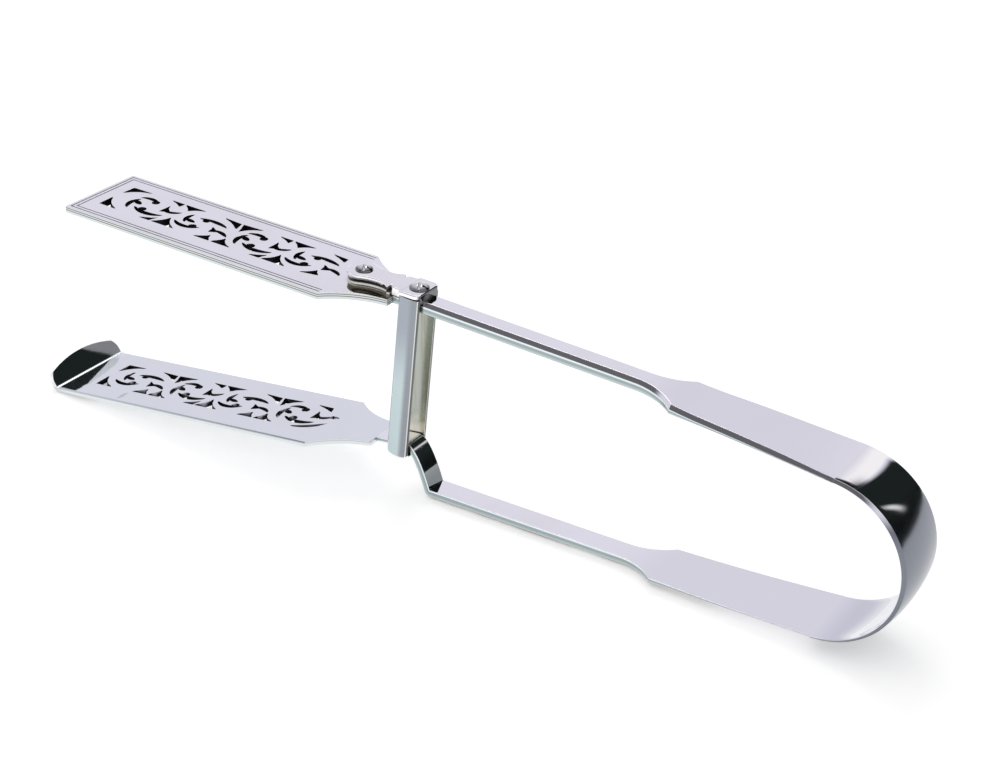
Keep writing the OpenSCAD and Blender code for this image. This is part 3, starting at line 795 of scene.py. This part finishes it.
def bevelled_ring(place, out, half_w, thick, bevel):
    """Cross section of a handle: flat inside, bevelled outside."""
    section = (
        (half_w, 0),
        (half_w, thick - bevel),
        (half_w - bevel, thick),
        (bevel - half_w, thick),
        (-half_w, thick - bevel),
        (-half_w, 0),
    )
    return [place + out * o + Vector((0, y, 0)) for y, o in section]


def strap_section(width, thickness, bevel, edge_r, turns=4, across=12):
    """Outline of the strap, as points (across, out): flat inside, bevelled outside."""
    half_w = width / 2
    half_t = thickness / 2
    corners = [
        Vector(corner)
        for corner in (
            (half_w, -half_t),
            (half_w, half_t - bevel),
            (half_w - bevel, half_t),
            (bevel - half_w, half_t),
            (-half_w, half_t - bevel),
            (-half_w, -half_t),
        )
    ]
    points = []
    for before, corner, after in zip(corners[-1:] + corners, corners, corners[1:] + corners[:1]):
        first = (before - corner).normalized()
        last = (after - corner).normalized()
        half = first.angle(last) / 2
        middle = corner + (first + last).normalized() * edge_r / math.sin(half)
        reach = edge_r / math.tan(half)
        begin = corner + first * reach - middle
        end = corner + last * reach - middle
        for k in range(turns + 1):
            arm = begin.lerp(end, k / turns).normalized() * edge_r
            points.append(tuple(middle + arm))
        # Points across the two wide faces, so that they can swell
        if abs(after.x - corner.x) > bevel * 1.5:
            start, stop = corner + last * reach, after - last * reach
            points += [tuple(start.lerp(stop, k / across)) for k in range(1, across)]
    return points


# Shares of the bow's length where its dome is fully risen and where it begins to fall
DOME_FIRST, DOME_LAST = 0.3, 0.72
# Angle over which the edge of a swept strap shows as a crease
STRAP_CREASE = math.radians(40)


class TONGS_OT_spring_bow(bpy.types.Operator):
    """Bends one silver strap from the lower grip round to the upper grip"""

    bl_idname = "tongs.spring_bow"
    bl_label = "Spring bow"

    def execute(self, context):
        s = context.scene.tongs_bow
        low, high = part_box("spring_bow")
        width = high.y - low.y
        outer_r = s.inner_r + s.thickness
        centre = Vector((high.x - outer_r, 0, low.z + outer_r * math.cos(s.lower_lean)))
        mid_r = s.inner_r + s.thickness / 2
        start = s.lower_lean - math.pi / 2
        sweep = math.pi - s.lower_lean - s.upper_lean
        section = strap_section(width, s.thickness, s.bevel, s.edge_r)
        rings = []
        for i in range(s.steps + 1):
            share = i / s.steps
            a = start + sweep * share
            out = Vector((math.cos(a), 0, math.sin(a)))
            dome = s.dome * smooth(share, 0.0, DOME_FIRST) * (1 - smooth(share, DOME_LAST, 1.0))
            ring = []
            for y, o in section:
                swell = dome * (1 - (2 * y / width) ** 2)
                ring.append(centre + out * (mid_r + o + swell) + Vector((0, y, 0)))
            rings.append(ring)
        bow = swept_piece("bow_strap", rings, context.scene.collection, STRAP_CREASE)
        silver = silver_material(
            "Bow silver",
            context.scene.tongs_silver,
            0.1 * MM,
            rubbed_and_shaded=centre,
            joint=(low.x + JOINT_REACH, False),
            tint=bow_tint,
        )
        bow.data.materials.append(silver)
        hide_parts("spring_bow")
        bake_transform(bow)
        return {"FINISHED"}


# The lower handle in millimetres, as X and Z on its inner face
NECK_END = (-19.90, 13.36)
CRANK_TOP = (-7.23, 14.80)
CRANK_FOOT = (-3.13, 2.80)
# Length along the neck that its turn into the crank begins before the crank's top
NECK_TURN = 3.6
NECK_T, CRANK_T = 1.9, 2.6
LOWER_BAR_L, LOWER_GRIP_L, LOWER_BEND = 67.0, 43.4, 2.8
# The upper handle
UPPER_END = (-14.707, 53.565)
UPPER_SLOPE = 3.3
UPPER_BAR_L, UPPER_GRIP_L, UPPER_BEND = 80.8, 42.6, 2.7
# Distance of both grips' bends from their shoulders
GRIP_BEND = 19.0


def crank_rings(s):
    """Rings from the neck's end over the rounded crank down to the bar."""
    end, top, foot = (Vector((x, 0, z)) * MM for x, z in (NECK_END, CRANK_TOP, CRANK_FOOT))
    along = (top - end).normalized()
    turn = top - along * NECK_TURN * MM
    bars = [(end, along, NECK_T), (end.lerp(turn, 0.5), along, NECK_T)]
    for k in range(25):
        t = k / 24
        place = turn * (1 - t) ** 2 + top * 2 * t * (1 - t) + foot * t**2
        heading = ((top - turn) * (1 - t) + (foot - top) * t).normalized()
        bars.append((place, heading, NECK_T + (CRANK_T - NECK_T) * smooth(t, 0.0, 0.5)))
    last = bars[-1][1]
    lean = math.atan2(last.z, last.x)
    for k in range(1, 10):
        a = lean * (1 - k / 10)
        heading = Vector((math.cos(a), 0, math.sin(a)))
        bars.append((foot, heading, CRANK_T + (s.bar_t / MM - CRANK_T) * k / 10))
    rings = []
    for place, heading, thick in bars:
        out = Vector((heading.z, 0, -heading.x))
        bevel = min(s.bevel, 0.5 * thick * MM)
        rings.append(bevelled_ring(place, out, s.bar_w / 2, thick * MM, bevel))
    return rings


class TONGS_OT_handles(bpy.types.Operator):
    """Draws both handles as one smooth bar each, from the blade to the bow"""

    bl_idname = "tongs.handles"
    bl_label = "Handles"

    def execute(self, context):
        s = context.scene.tongs_handles
        lower = crank_rings(s) + handle_rings(
            s,
            (CRANK_FOOT[0] * MM, 0, CRANK_FOOT[1] * MM),
            0.0,
            -1,
            LOWER_BAR_L * MM,
            LOWER_GRIP_L * MM,
            math.radians(LOWER_BEND),
            (LOWER_BAR_L + GRIP_BEND) * MM,
        )
        upper = handle_rings(
            s,
            (UPPER_END[0] * MM, 0, UPPER_END[1] * MM),
            math.radians(-UPPER_SLOPE),
            1,
            UPPER_BAR_L * MM,
            UPPER_GRIP_L * MM,
            math.radians(-UPPER_BEND),
            (UPPER_BAR_L + GRIP_BEND) * MM,
        )
        joint = (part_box("spring_bow")[0].x - JOINT_REACH, True)
        silver = silver_material(
            "Handle silver",
            context.scene.tongs_silver,
            0.22 * MM,
            joint=joint,
            tint=handle_tint,
        )
        for side, rings in (("lower", lower), ("upper", upper)):
            piece = swept_piece(side + "_handle", rings, context.scene.collection)
            drop = piece.data.attributes.new(DROP, "FLOAT", "POINT")
            for index, value in enumerate(drop.data):
                outer = index % len(rings[0]) in OUTER_POINTS
                value.value = float(outer == (side == "lower"))
            piece.data.materials.append(silver)
            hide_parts(side + "_arm")
            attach(piece, side)
        return {"FINISHED"}


# How far the openings are filed back on top and underneath, in millimetres, and the depth
# that parts the two
FILED_TOP = 0.2
FILED_UNDER = -0.2
FILED_DEPTH = {"lower_blade": 0.65, "upper_blade": 0.9}
# Top face of each blade, as a point on it and its rise along X, and the depths in millimetres of
# the threads along its sides, drawn as lines of painted shade
BLADE_TOPS = {
    "lower_blade": ((-19.90, 13.36), 0.1139, (0.38,)),
    "upper_blade": ((-14.60, 55.36), -0.0393, (0.42, 0.98)),
}
# Faces steeper than this share of an upright normal count as walls
WALL_RISE = 0.4
# Distance within which split points of a blade count as one
SAME_PLACE = 0.001 * MM


def filed_blade(name, node_name, pierced, threads, collection):
    """Copy of a blade whose openings are filed wider on top and narrower underneath."""
    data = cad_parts[node_name].data.copy()
    data.name = name
    start, rise, middle = threads[0], threads[1], FILED_DEPTH[node_name] * MM
    pushes = {}
    keys = [tuple(round(c / SAME_PLACE) for c in vert.co) for vert in data.vertices]
    for face in data.polygons:
        if abs(face.normal.z) > WALL_RISE:
            continue
        for index in face.vertices:
            push = pushes.setdefault(keys[index], Vector())
            push += Vector((face.normal.x, face.normal.y, 0)) * face.area
    for vert, key in zip(data.vertices, keys):
        place = vert.co
        push = pushes.get(key)
        if push is None or not (pierced[0] < place.x < pierced[1] and abs(place.y) < PIERCED_Y):
            continue
        depth = start.z + (place.x - start.x) * rise - place.z
        by = FILED_TOP if depth < middle else FILED_UNDER
        vert.co = place - push.normalized() * by * MM
    piece = bpy.data.objects.new(name, data)
    collection.objects.link(piece)
    return piece


class TONGS_OT_blades(bpy.types.Operator):
    """Files the openings of both pierced blades and gives them their polished silver"""

    bl_idname = "tongs.blades"
    bl_label = "Blades"

    def execute(self, context):
        s = context.scene.tongs_silver
        for name in BLADES:
            low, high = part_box(name)
            tip, root = PIERCED_ENDS[name]
            pierced = (low.x + tip, high.x - root)
            side = name.split("_")[0]
            (x, z), rise, depths = BLADE_TOPS[name]
            threads = (Vector((x, 0, z)) * MM, rise, [depth * MM for depth in depths])
            collection = context.scene.collection
            piece = filed_blade(side + "_pierced_blade", name, pierced, threads, collection)
            piece.data.materials.clear()
            silver = silver_material(
                name.replace("_", " ").capitalize() + " silver",
                s,
                0.12 * MM,
                pierced=pierced,
                threads=threads,
                tint=lower_blade_tint if name == "lower_blade" else None,
                lip=low.x + LIP_REACH if name == "lower_blade" else None,
            )
            piece.data.materials.append(silver)
            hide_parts(name)
            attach(piece, side)
        return {"FINISHED"}


# The guide loop in millimetres: width between its uprights, depth of its inside, strap
# width and thickness, crown of the outer face, and radii of the bends and of the edges
LOOP_GAP, LOOP_DEPTH = 7.2, 42.22
LOOP_W, LOOP_T, LOOP_CROWN = 6.1, 1.4, 0.35
LOOP_BEND_R, LOOP_OUTER_R, LOOP_INNER_R = 0.7, 0.62, 0.2
# How far the uprights reach up beside the bar, under the cap
LOOP_RISE = 3.6
# How much narrower the outer face gets round the lower bends
LOOP_TAPER = 0.3


def loop_section(taper, turns=6, across=14):
    """Outline of the loop's strap, as points (along, out): flat inside, crowned outside.

    taper is the share by which the outer face is narrower than the inner one.
    """
    half = LOOP_W / 2
    edge_t = LOOP_T - LOOP_CROWN
    points = []
    corners = (
        (half - LOOP_OUTER_R, edge_t - LOOP_OUTER_R, LOOP_OUTER_R, 0),
        (LOOP_OUTER_R - half, edge_t - LOOP_OUTER_R, LOOP_OUTER_R, 1),
        (LOOP_INNER_R - half, LOOP_INNER_R, LOOP_INNER_R, 2),
        (half - LOOP_INNER_R, LOOP_INNER_R, LOOP_INNER_R, 3),
    )
    for x, o, r, quarter in corners:
        for k in range(turns + 1):
            a = (quarter + k / turns) * math.pi / 2
            points.append((x + r * math.cos(a), o + r * math.sin(a)))
        if quarter == 0:
            start = half - LOOP_OUTER_R
            points += [(start * (1 - 2 * k / across), edge_t) for k in range(1, across)]
    # The crown lifts the outer half of the outline
    return [
        (x * (1 - taper), o + LOOP_CROWN * (1 - (x / half) ** 2)) if o > 0.4 * edge_t else (x, o)
        for x, o in points
    ]


def loop_rings():
    """Rings down one upright, under the neck and up the other upright."""
    lean = math.radians(LOOP_LEAN)
    along = Vector((math.cos(lean), 0, -math.sin(lean)))
    up = Vector((math.sin(lean), 0, math.cos(lean)))
    across = Vector((0, 1, 0))
    top = Vector((LOOP_TOP[0], 0, LOOP_TOP[1]))
    half, foot = LOOP_GAP / 2, LOOP_BEND_R - LOOP_DEPTH
    path = [(-half, LOOP_RISE + (foot - LOOP_RISE) * k / 6, math.pi) for k in range(6)]
    for side, first in ((-1, math.pi), (1, 1.5 * math.pi)):
        for k in range(9):
            a = first + k / 8 * math.pi / 2
            y = side * (half - LOOP_BEND_R) + LOOP_BEND_R * math.cos(a)
            path.append((y, foot + LOOP_BEND_R * math.sin(a), a))
    path += [(half, foot + (LOOP_RISE - foot) * k / 6, 2 * math.pi) for k in range(1, 7)]
    rings = []
    for y, z, a in path:
        out = across * math.cos(a) + up * math.sin(a)
        place = top + across * y + up * z
        section = loop_section(LOOP_TAPER * math.sin(a) ** 2)
        rings.append([(place + along * x + out * o) * MM for x, o in section])
    return rings


# Frame of the bridge plate in millimetres: the end of the upper blade's top face as X and Z,
# and the blade's pitch in degrees
BRIDGE_END = (-14.61, 55.36)
BRIDGE_PITCH = 2.25
# Round end of its tongue: middle along X, radius, and how far it runs on past its widest
# point in radians
TONGUE_X, TONGUE_R, TONGUE_SIDE = -11.1, 4.4, 0.1
# Side of its outline behind the round end, as distances along and half widths
BRIDGE_SIDE = (
    (-10.4, 4.22), (-9.2, 3.72), (-7.4, 3.22), (-5.0, 3.0), (-3.3, 3.22), (-2.2, 3.75),
    (-1.6, 4.12), (-1.15, 4.15), (-0.85, 3.75), (-0.65, 3.2), (-0.45, 3.0), (-0.2, 3.3),
    (0.05, 3.8), (0.5, 4.02), (1.4, 4.1), (2.2, 4.15), (2.6, 4.35), (2.85, 4.75), (3.2, 5.0),
    (5.0, 5.0), (6.95, 5.0),
)
# Back end of its cap and the radius of the cap's corners
CAP_END, CAP_CORNER_R = 8.75, 1.8
# Half width under the cap, between the uprights of the guide
CAP_UNDER = 3.58
# Levels of the plate from its top down: height and inset of the tongue, height and inset of
# the cap, and whether the cap's part stays between the uprights
BRIDGE_LEVELS = (
    (3.0, 0.3, 3.0, 0.3, False), (2.95, 0.13, 2.95, 0.13, False),
    (2.84, 0.03, 2.84, 0.03, False), (2.6, 0.0, 2.6, 0.0, False),
    (2.1, 0.0, 2.25, 0.0, False), (1.88, 0.12, 2.02, 0.0, False),
    (1.65, 0.5, 2.0, 0.0, True), (1.3, 0.92, 1.75, 0.0, True),
    (0.9, 1.18, 1.5, 0.0, True), (0.5, 1.28, 1.2, 0.0, True),
    (0.2, 1.22, 0.9, 0.0, True), (-0.05, 1.1, 0.6, 0.0, True),
)
# Largest inset that belongs to the rounded upper edge, and the share of the hollow that the
# round end keeps
EDGE_INSET, END_HOLLOW = 0.3, 0.25
# Stretches along the plate in which the hollow sets in, and in which the tongue turns into
# the cap
HOLLOW_START = (-14.5, -10.5)
CAP_START = (-0.8, -0.1)


def curve_point(a, b, c, d, t):
    """Point at share t of a smooth curve from b to c, with a before and d behind."""
    return tuple(
        0.5 * (2 * q + (r - p) * t + (2 * p - 5 * q + 4 * r - s) * t**2
               + (3 * q - p - 3 * r + s) * t**3)
        for p, q, r, s in zip(a, b, c, d)
    )


def bridge_outline(turns=12, steps=6):
    """Closed outline of the bridge plate seen from above, as points (along, across)."""
    half = []
    reach = math.pi / 2 - TONGUE_SIDE
    for k in range(turns):
        a = math.pi - (math.pi - reach) * k / turns
        half.append((TONGUE_X + TONGUE_R * math.cos(a), TONGUE_R * math.sin(a)))
    ends = [half[-1], *BRIDGE_SIDE, (BRIDGE_SIDE[-1][0] + 1.0, BRIDGE_SIDE[-1][1])]
    for a, b, c, d in zip(ends, ends[1:], ends[2:], ends[3:]):
        half += [curve_point(a, b, c, d, k / steps) for k in range(steps)]
    x, y = CAP_END - CAP_CORNER_R, BRIDGE_SIDE[-1][1] - CAP_CORNER_R
    for k in range(turns + 1):
        a = math.pi / 2 * (1 - k / turns)
        half.append((x + CAP_CORNER_R * math.cos(a), y + CAP_CORNER_R * math.sin(a)))
    return half + [(x, -y) for x, y in half[:0:-1]]


def bridge_rings():
    """Rings of the bridge plate from its top down, with hollow sides under the tongue."""
    pitch = math.radians(BRIDGE_PITCH)
    along = Vector((math.cos(pitch), 0, -math.sin(pitch)))
    up = Vector((math.sin(pitch), 0, math.cos(pitch)))
    end = Vector((BRIDGE_END[0], 0, BRIDGE_END[1]))
    outline = [Vector(point) for point in bridge_outline()]
    count = len(outline)
    rings = []
    for high, inset, cap_high, cap_inset, under in BRIDGE_LEVELS:
        ring = []
        for k, point in enumerate(outline):
            run = (outline[(k + 1) % count] - outline[k - 1]).normalized()
            inward = Vector((run.y, -run.x))
            hollow = inset
            if inset > EDGE_INSET:
                # The round end stands nearly upright
                hollow *= END_HOLLOW + (1 - END_HOLLOW) * smooth(point.x, *HOLLOW_START)
            cap = smooth(point.x, *CAP_START)
            x, y = point + inward * (hollow * (1 - cap) + cap_inset * cap)
            z = high * (1 - cap) + cap_high * cap
            if under and cap > 0.5:
                y = max(-CAP_UNDER, min(CAP_UNDER, y))
            ring.append((end + along * x + Vector((0, y, 0)) + up * z) * MM)
        rings.append(ring)
    return rings


# Angle over which an edge of the bridge plate shows as a crease
BRIDGE_CREASE = math.radians(50)
# Wear of the guide and the bridge plate, and of the screws, beside 1 for the rest
GUIDE_WEAR, SCREW_WEAR = 1.3, 1.6


class TONGS_OT_guide(bpy.types.Operator):
    """Bends the guide loop from a crowned strap and shapes the bridge plate over it"""

    bl_idname = "tongs.guide"
    bl_label = "Guide and bridge"

    def execute(self, context):
        s = context.scene.tongs_silver
        collection = context.scene.collection
        bridge = swept_piece("bridge_cover", bridge_rings(), collection, BRIDGE_CREASE)
        # The top and the underside stay flat up to their edges
        for face in bridge.data.polygons:
            face.use_smooth = len(face.vertices) == 4
        silver = silver_material("Bridge silver", s, 0.1 * MM, GUIDE_WEAR, tint=bridge_tint)
        bridge.data.materials.append(silver)
        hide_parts("bridge_plate")
        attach(bridge, "upper")
        loop = swept_piece("guide_strap", loop_rings(), collection, STRAP_CREASE)
        silver = silver_material("Guide silver", s, 0.1 * MM, GUIDE_WEAR, tint=loop_tint)
        loop.data.materials.append(silver)
        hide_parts("guide_loop")
        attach(loop, "upper")
        return {"FINISHED"}


class TONGS_OT_screws(bpy.types.Operator):
    """Gives both screws their worn silver, with painted shade on their flanks"""

    bl_idname = "tongs.screws"
    bl_label = "Screws"

    def execute(self, context):
        s = context.scene.tongs_silver
        silver = silver_material("Worn silver with painted shade", s, 0.15 * MM, SCREW_WEAR, tint=screw_tint)
        for name in SCREWS:
            finish_node(name, silver)
        return {"FINISHED"}


def floor_material(settings):
    """Pale floor: white for the camera and the silver, with the object's shadow kept."""
    material = bpy.data.materials.new("Pale floor")
    material.use_nodes = True
    g = Graph(material.node_tree)
    path = g.add("ShaderNodeLightPath")
    seen = g.math("MAXIMUM", path.outputs["Is Camera Ray"], path.outputs["Is Glossy Ray"])
    seen = g.math("MAXIMUM", seen, path.outputs["Is Transmission Ray"])
    diffuse = g.add("ShaderNodeBsdfDiffuse")
    diffuse.inputs["Color"].default_value = rgba(settings.floor_colour)
    glow = g.add("ShaderNodeEmission")
    glow.inputs["Color"].default_value = WHITE
    g.link(g.math("MULTIPLY", seen, settings.floor_glow), glow.inputs["Strength"])
    both = g.add("ShaderNodeAddShader")
    g.link(diffuse.outputs[0], both.inputs[0])
    g.link(glow.outputs[0], both.inputs[1])
    out = g.add("ShaderNodeOutputMaterial")
    g.link(both.outputs[0], out.inputs["Surface"])
    return material


# Dark cards in the tent, in degrees: azimuth from +Y towards +X, first end and last end with
# the width over which each fades, then elevation in the same way, and the depth of the shade
CARDS = (
    (7.0, 2.0, 62.0, 3.0, -6.0, 3.0, 47.0, 4.0, 1.0),
    (-20.0, 2.0, 9.0, 2.0, 36.5, 1.2, 56.0, 3.0, 1.0),
    (-200.0, 5.0, -110.0, 10.0, 36.0, 8.0, 66.0, 8.0, 0.85),
    (145.0, 10.0, 200.0, 5.0, 36.0, 8.0, 66.0, 8.0, 0.85),
)
# White strips beside the cards, in the same terms
STRIPS = (
    (-9.0, 5.0, 4.5, 1.2, 10.0, 3.0, 36.5, 1.5, 1.0),
    (34.0, 1.5, 37.0, 1.5, 16.0, 5.0, 30.0, 5.0, 0.8),
)
# Top of the tent, and the plain light that dull faces take
TENT_TOP = (0.84, 0.825, 0.88, 1.0)
DULL_LIGHT = (0.76, 0.76, 0.76, 1.0)
# The key light: side of its square in metres, and its place
KEY_SIZE = 0.5
KEY_PLACE = (-0.42, 0.70, 1.1)


def card(g, azimuth, elevation, spec):
    """Share of a card at a direction given by its azimuth and elevation."""
    inside = None
    for value, ends in ((azimuth, spec[:4]), (elevation, spec[4:8])):
        first, first_fade, last, last_fade = ends
        begin = g.ramp(value, first - first_fade, first + first_fade)
        end = g.ramp(value, last - last_fade, last + last_fade, 1.0, 0.0)
        both = g.math("MULTIPLY", begin, end)
        inside = both if inside is None else g.math("MULTIPLY", inside, both)
    return g.math("MULTIPLY", inside, spec[8])


def tent_world(settings):
    """White tent with dark cards for what the silver mirrors, plain white for the camera."""
    world = bpy.data.worlds.new("Light tent")
    world.use_nodes = True
    g = Graph(world.node_tree)
    look = g.add("ShaderNodeSeparateXYZ")
    g.link(g.add("ShaderNodeTexCoord").outputs["Generated"], look.inputs[0])
    azimuth = g.math("DEGREES", g.math("ARCTAN2", look.outputs["X"], look.outputs["Y"]))
    elevation = g.math("DEGREES", g.math("ARCSINE", look.outputs["Z"]))
    top = g.ramp(elevation, 35.0, 75.0)
    tent = g.mix(top, rgba(settings.tent_colour), TENT_TOP)
    # The floor runs up into the tent without a line
    tent = g.mix(g.ramp(elevation, 0.0, 15.0), WHITE, tent)
    for spec in CARDS:
        tent = g.mix(card(g, azimuth, elevation, spec), tent, rgba(settings.card_colour))
    for spec in STRIPS:
        tent = g.mix(card(g, azimuth, elevation, spec), tent, WHITE)
    path = g.add("ShaderNodeLightPath")
    # The floor and other dull faces take plain light, without the tent's tint
    tent = g.mix(path.outputs["Is Diffuse Ray"], tent, DULL_LIGHT)
    camera = path.outputs["Is Camera Ray"]
    background = g.add("ShaderNodeBackground")
    g.link(g.mix(camera, tent, WHITE), background.inputs["Color"])
    out = g.add("ShaderNodeOutputWorld")
    g.link(background.outputs[0], out.inputs["Surface"])
    return world


def area_lamp(name, power, size, place, aim, collection):
    """Square soft lamp that faces a point."""
    lamp = bpy.data.lights.new(name, "AREA")
    lamp.energy = power
    lamp.size = size
    lamp_object = bpy.data.objects.new(name, lamp)
    lamp_object.location = place
    lamp_object.rotation_mode = "QUATERNION"
    lamp_object.rotation_quaternion = (Vector(aim) - Vector(place)).to_track_quat("-Z", "Y")
    collection.objects.link(lamp_object)


class TONGS_OT_stage(bpy.types.Operator):
    """Lays the floor, hangs the light and sets up the camera"""

    bl_idname = "tongs.stage"
    bl_label = "Stage"

    def execute(self, context):
        s = context.scene.tongs_stage
        scene = context.scene
        collection = scene.collection
        half = s.floor_size / 2
        data = bpy.data.meshes.new("pale_floor")
        data.from_pydata(
            [(-half, -half, 0), (half, -half, 0), (half, half, 0), (-half, half, 0)],
            [],
            [(0, 1, 2, 3)],
        )
        data.materials.append(floor_material(s))
        floor = bpy.data.objects.new("pale_floor", data)
        collection.objects.link(floor)
        scene.world = tent_world(s)
        area_lamp("Key light", s.key_power, KEY_SIZE, KEY_PLACE, (0, 0, 0), collection)
        scene.view_settings.view_transform = "Standard"

        a, e, r = s.azimuth, s.elevation, s.roll
        right = Vector((math.cos(a), math.sin(a), 0))
        back = Vector((math.sin(a) * math.cos(e), -math.cos(a) * math.cos(e), math.sin(e)))
        up = back.cross(right)
        right, up = (
            math.cos(r) * right + math.sin(r) * up,
            -math.sin(r) * right + math.cos(r) * up,
        )
        lens = bpy.data.cameras.new("Photo camera")
        lens.sensor_width = 36.0
        lens.lens = s.focal
        lens.clip_start = 0.01
        camera = bpy.data.objects.new("Photo camera", lens)
        collection.objects.link(camera)
        turn = Matrix((right, up, back)).transposed().to_4x4()
        camera.matrix_world = Matrix.Translation(Vector(s.eye)) @ turn
        scene.camera = camera
        return {"FINISHED"}


class TONGS_PT_sidebar(bpy.types.Panel):
    """Lists the pieces, their settings and the stage."""

    bl_idname = "TONGS_PT_sidebar"
    bl_label = "Asparagus tongs"
    bl_space_type = "VIEW_3D"
    bl_region_type = "UI"
    bl_category = "Tongs"

    def draw(self, context):
        for operator in OPERATORS:
            self.layout.operator(operator.bl_idname)
        for settings in SETTINGS:
            group = getattr(context.scene, settings)
            box = self.layout.box()
            for key in group.__annotations__:
                box.prop(group, key)


OPERATORS = (
    TONGS_OT_spring_bow,
    TONGS_OT_handles,
    TONGS_OT_blades,
    TONGS_OT_guide,
    TONGS_OT_screws,
    TONGS_OT_stage,
)
SETTINGS = {
    "tongs_silver": SilverSettings,
    "tongs_bow": BowSettings,
    "tongs_handles": HandleSettings,
    "tongs_stage": StageSettings,
}


def register():
    for name, group in SETTINGS.items():
        bpy.utils.register_class(group)
        setattr(bpy.types.Scene, name, bpy.props.PointerProperty(type=group))
    for operator in OPERATORS:
        bpy.utils.register_class(operator)
    bpy.utils.register_class(TONGS_PT_sidebar)


def unregister():
    bpy.utils.unregister_class(TONGS_PT_sidebar)
    for operator in reversed(OPERATORS):
        bpy.utils.unregister_class(operator)
    for name, group in SETTINGS.items():
        delattr(bpy.types.Scene, name)
        bpy.utils.unregister_class(group)


def main():
    register()
    bpy.ops.tongs.spring_bow()
    bpy.ops.tongs.handles()
    bpy.ops.tongs.blades()
    bpy.ops.tongs.guide()
    bpy.ops.tongs.screws()
    bpy.ops.tongs.stage()


if __name__ == "__main__":
    main()
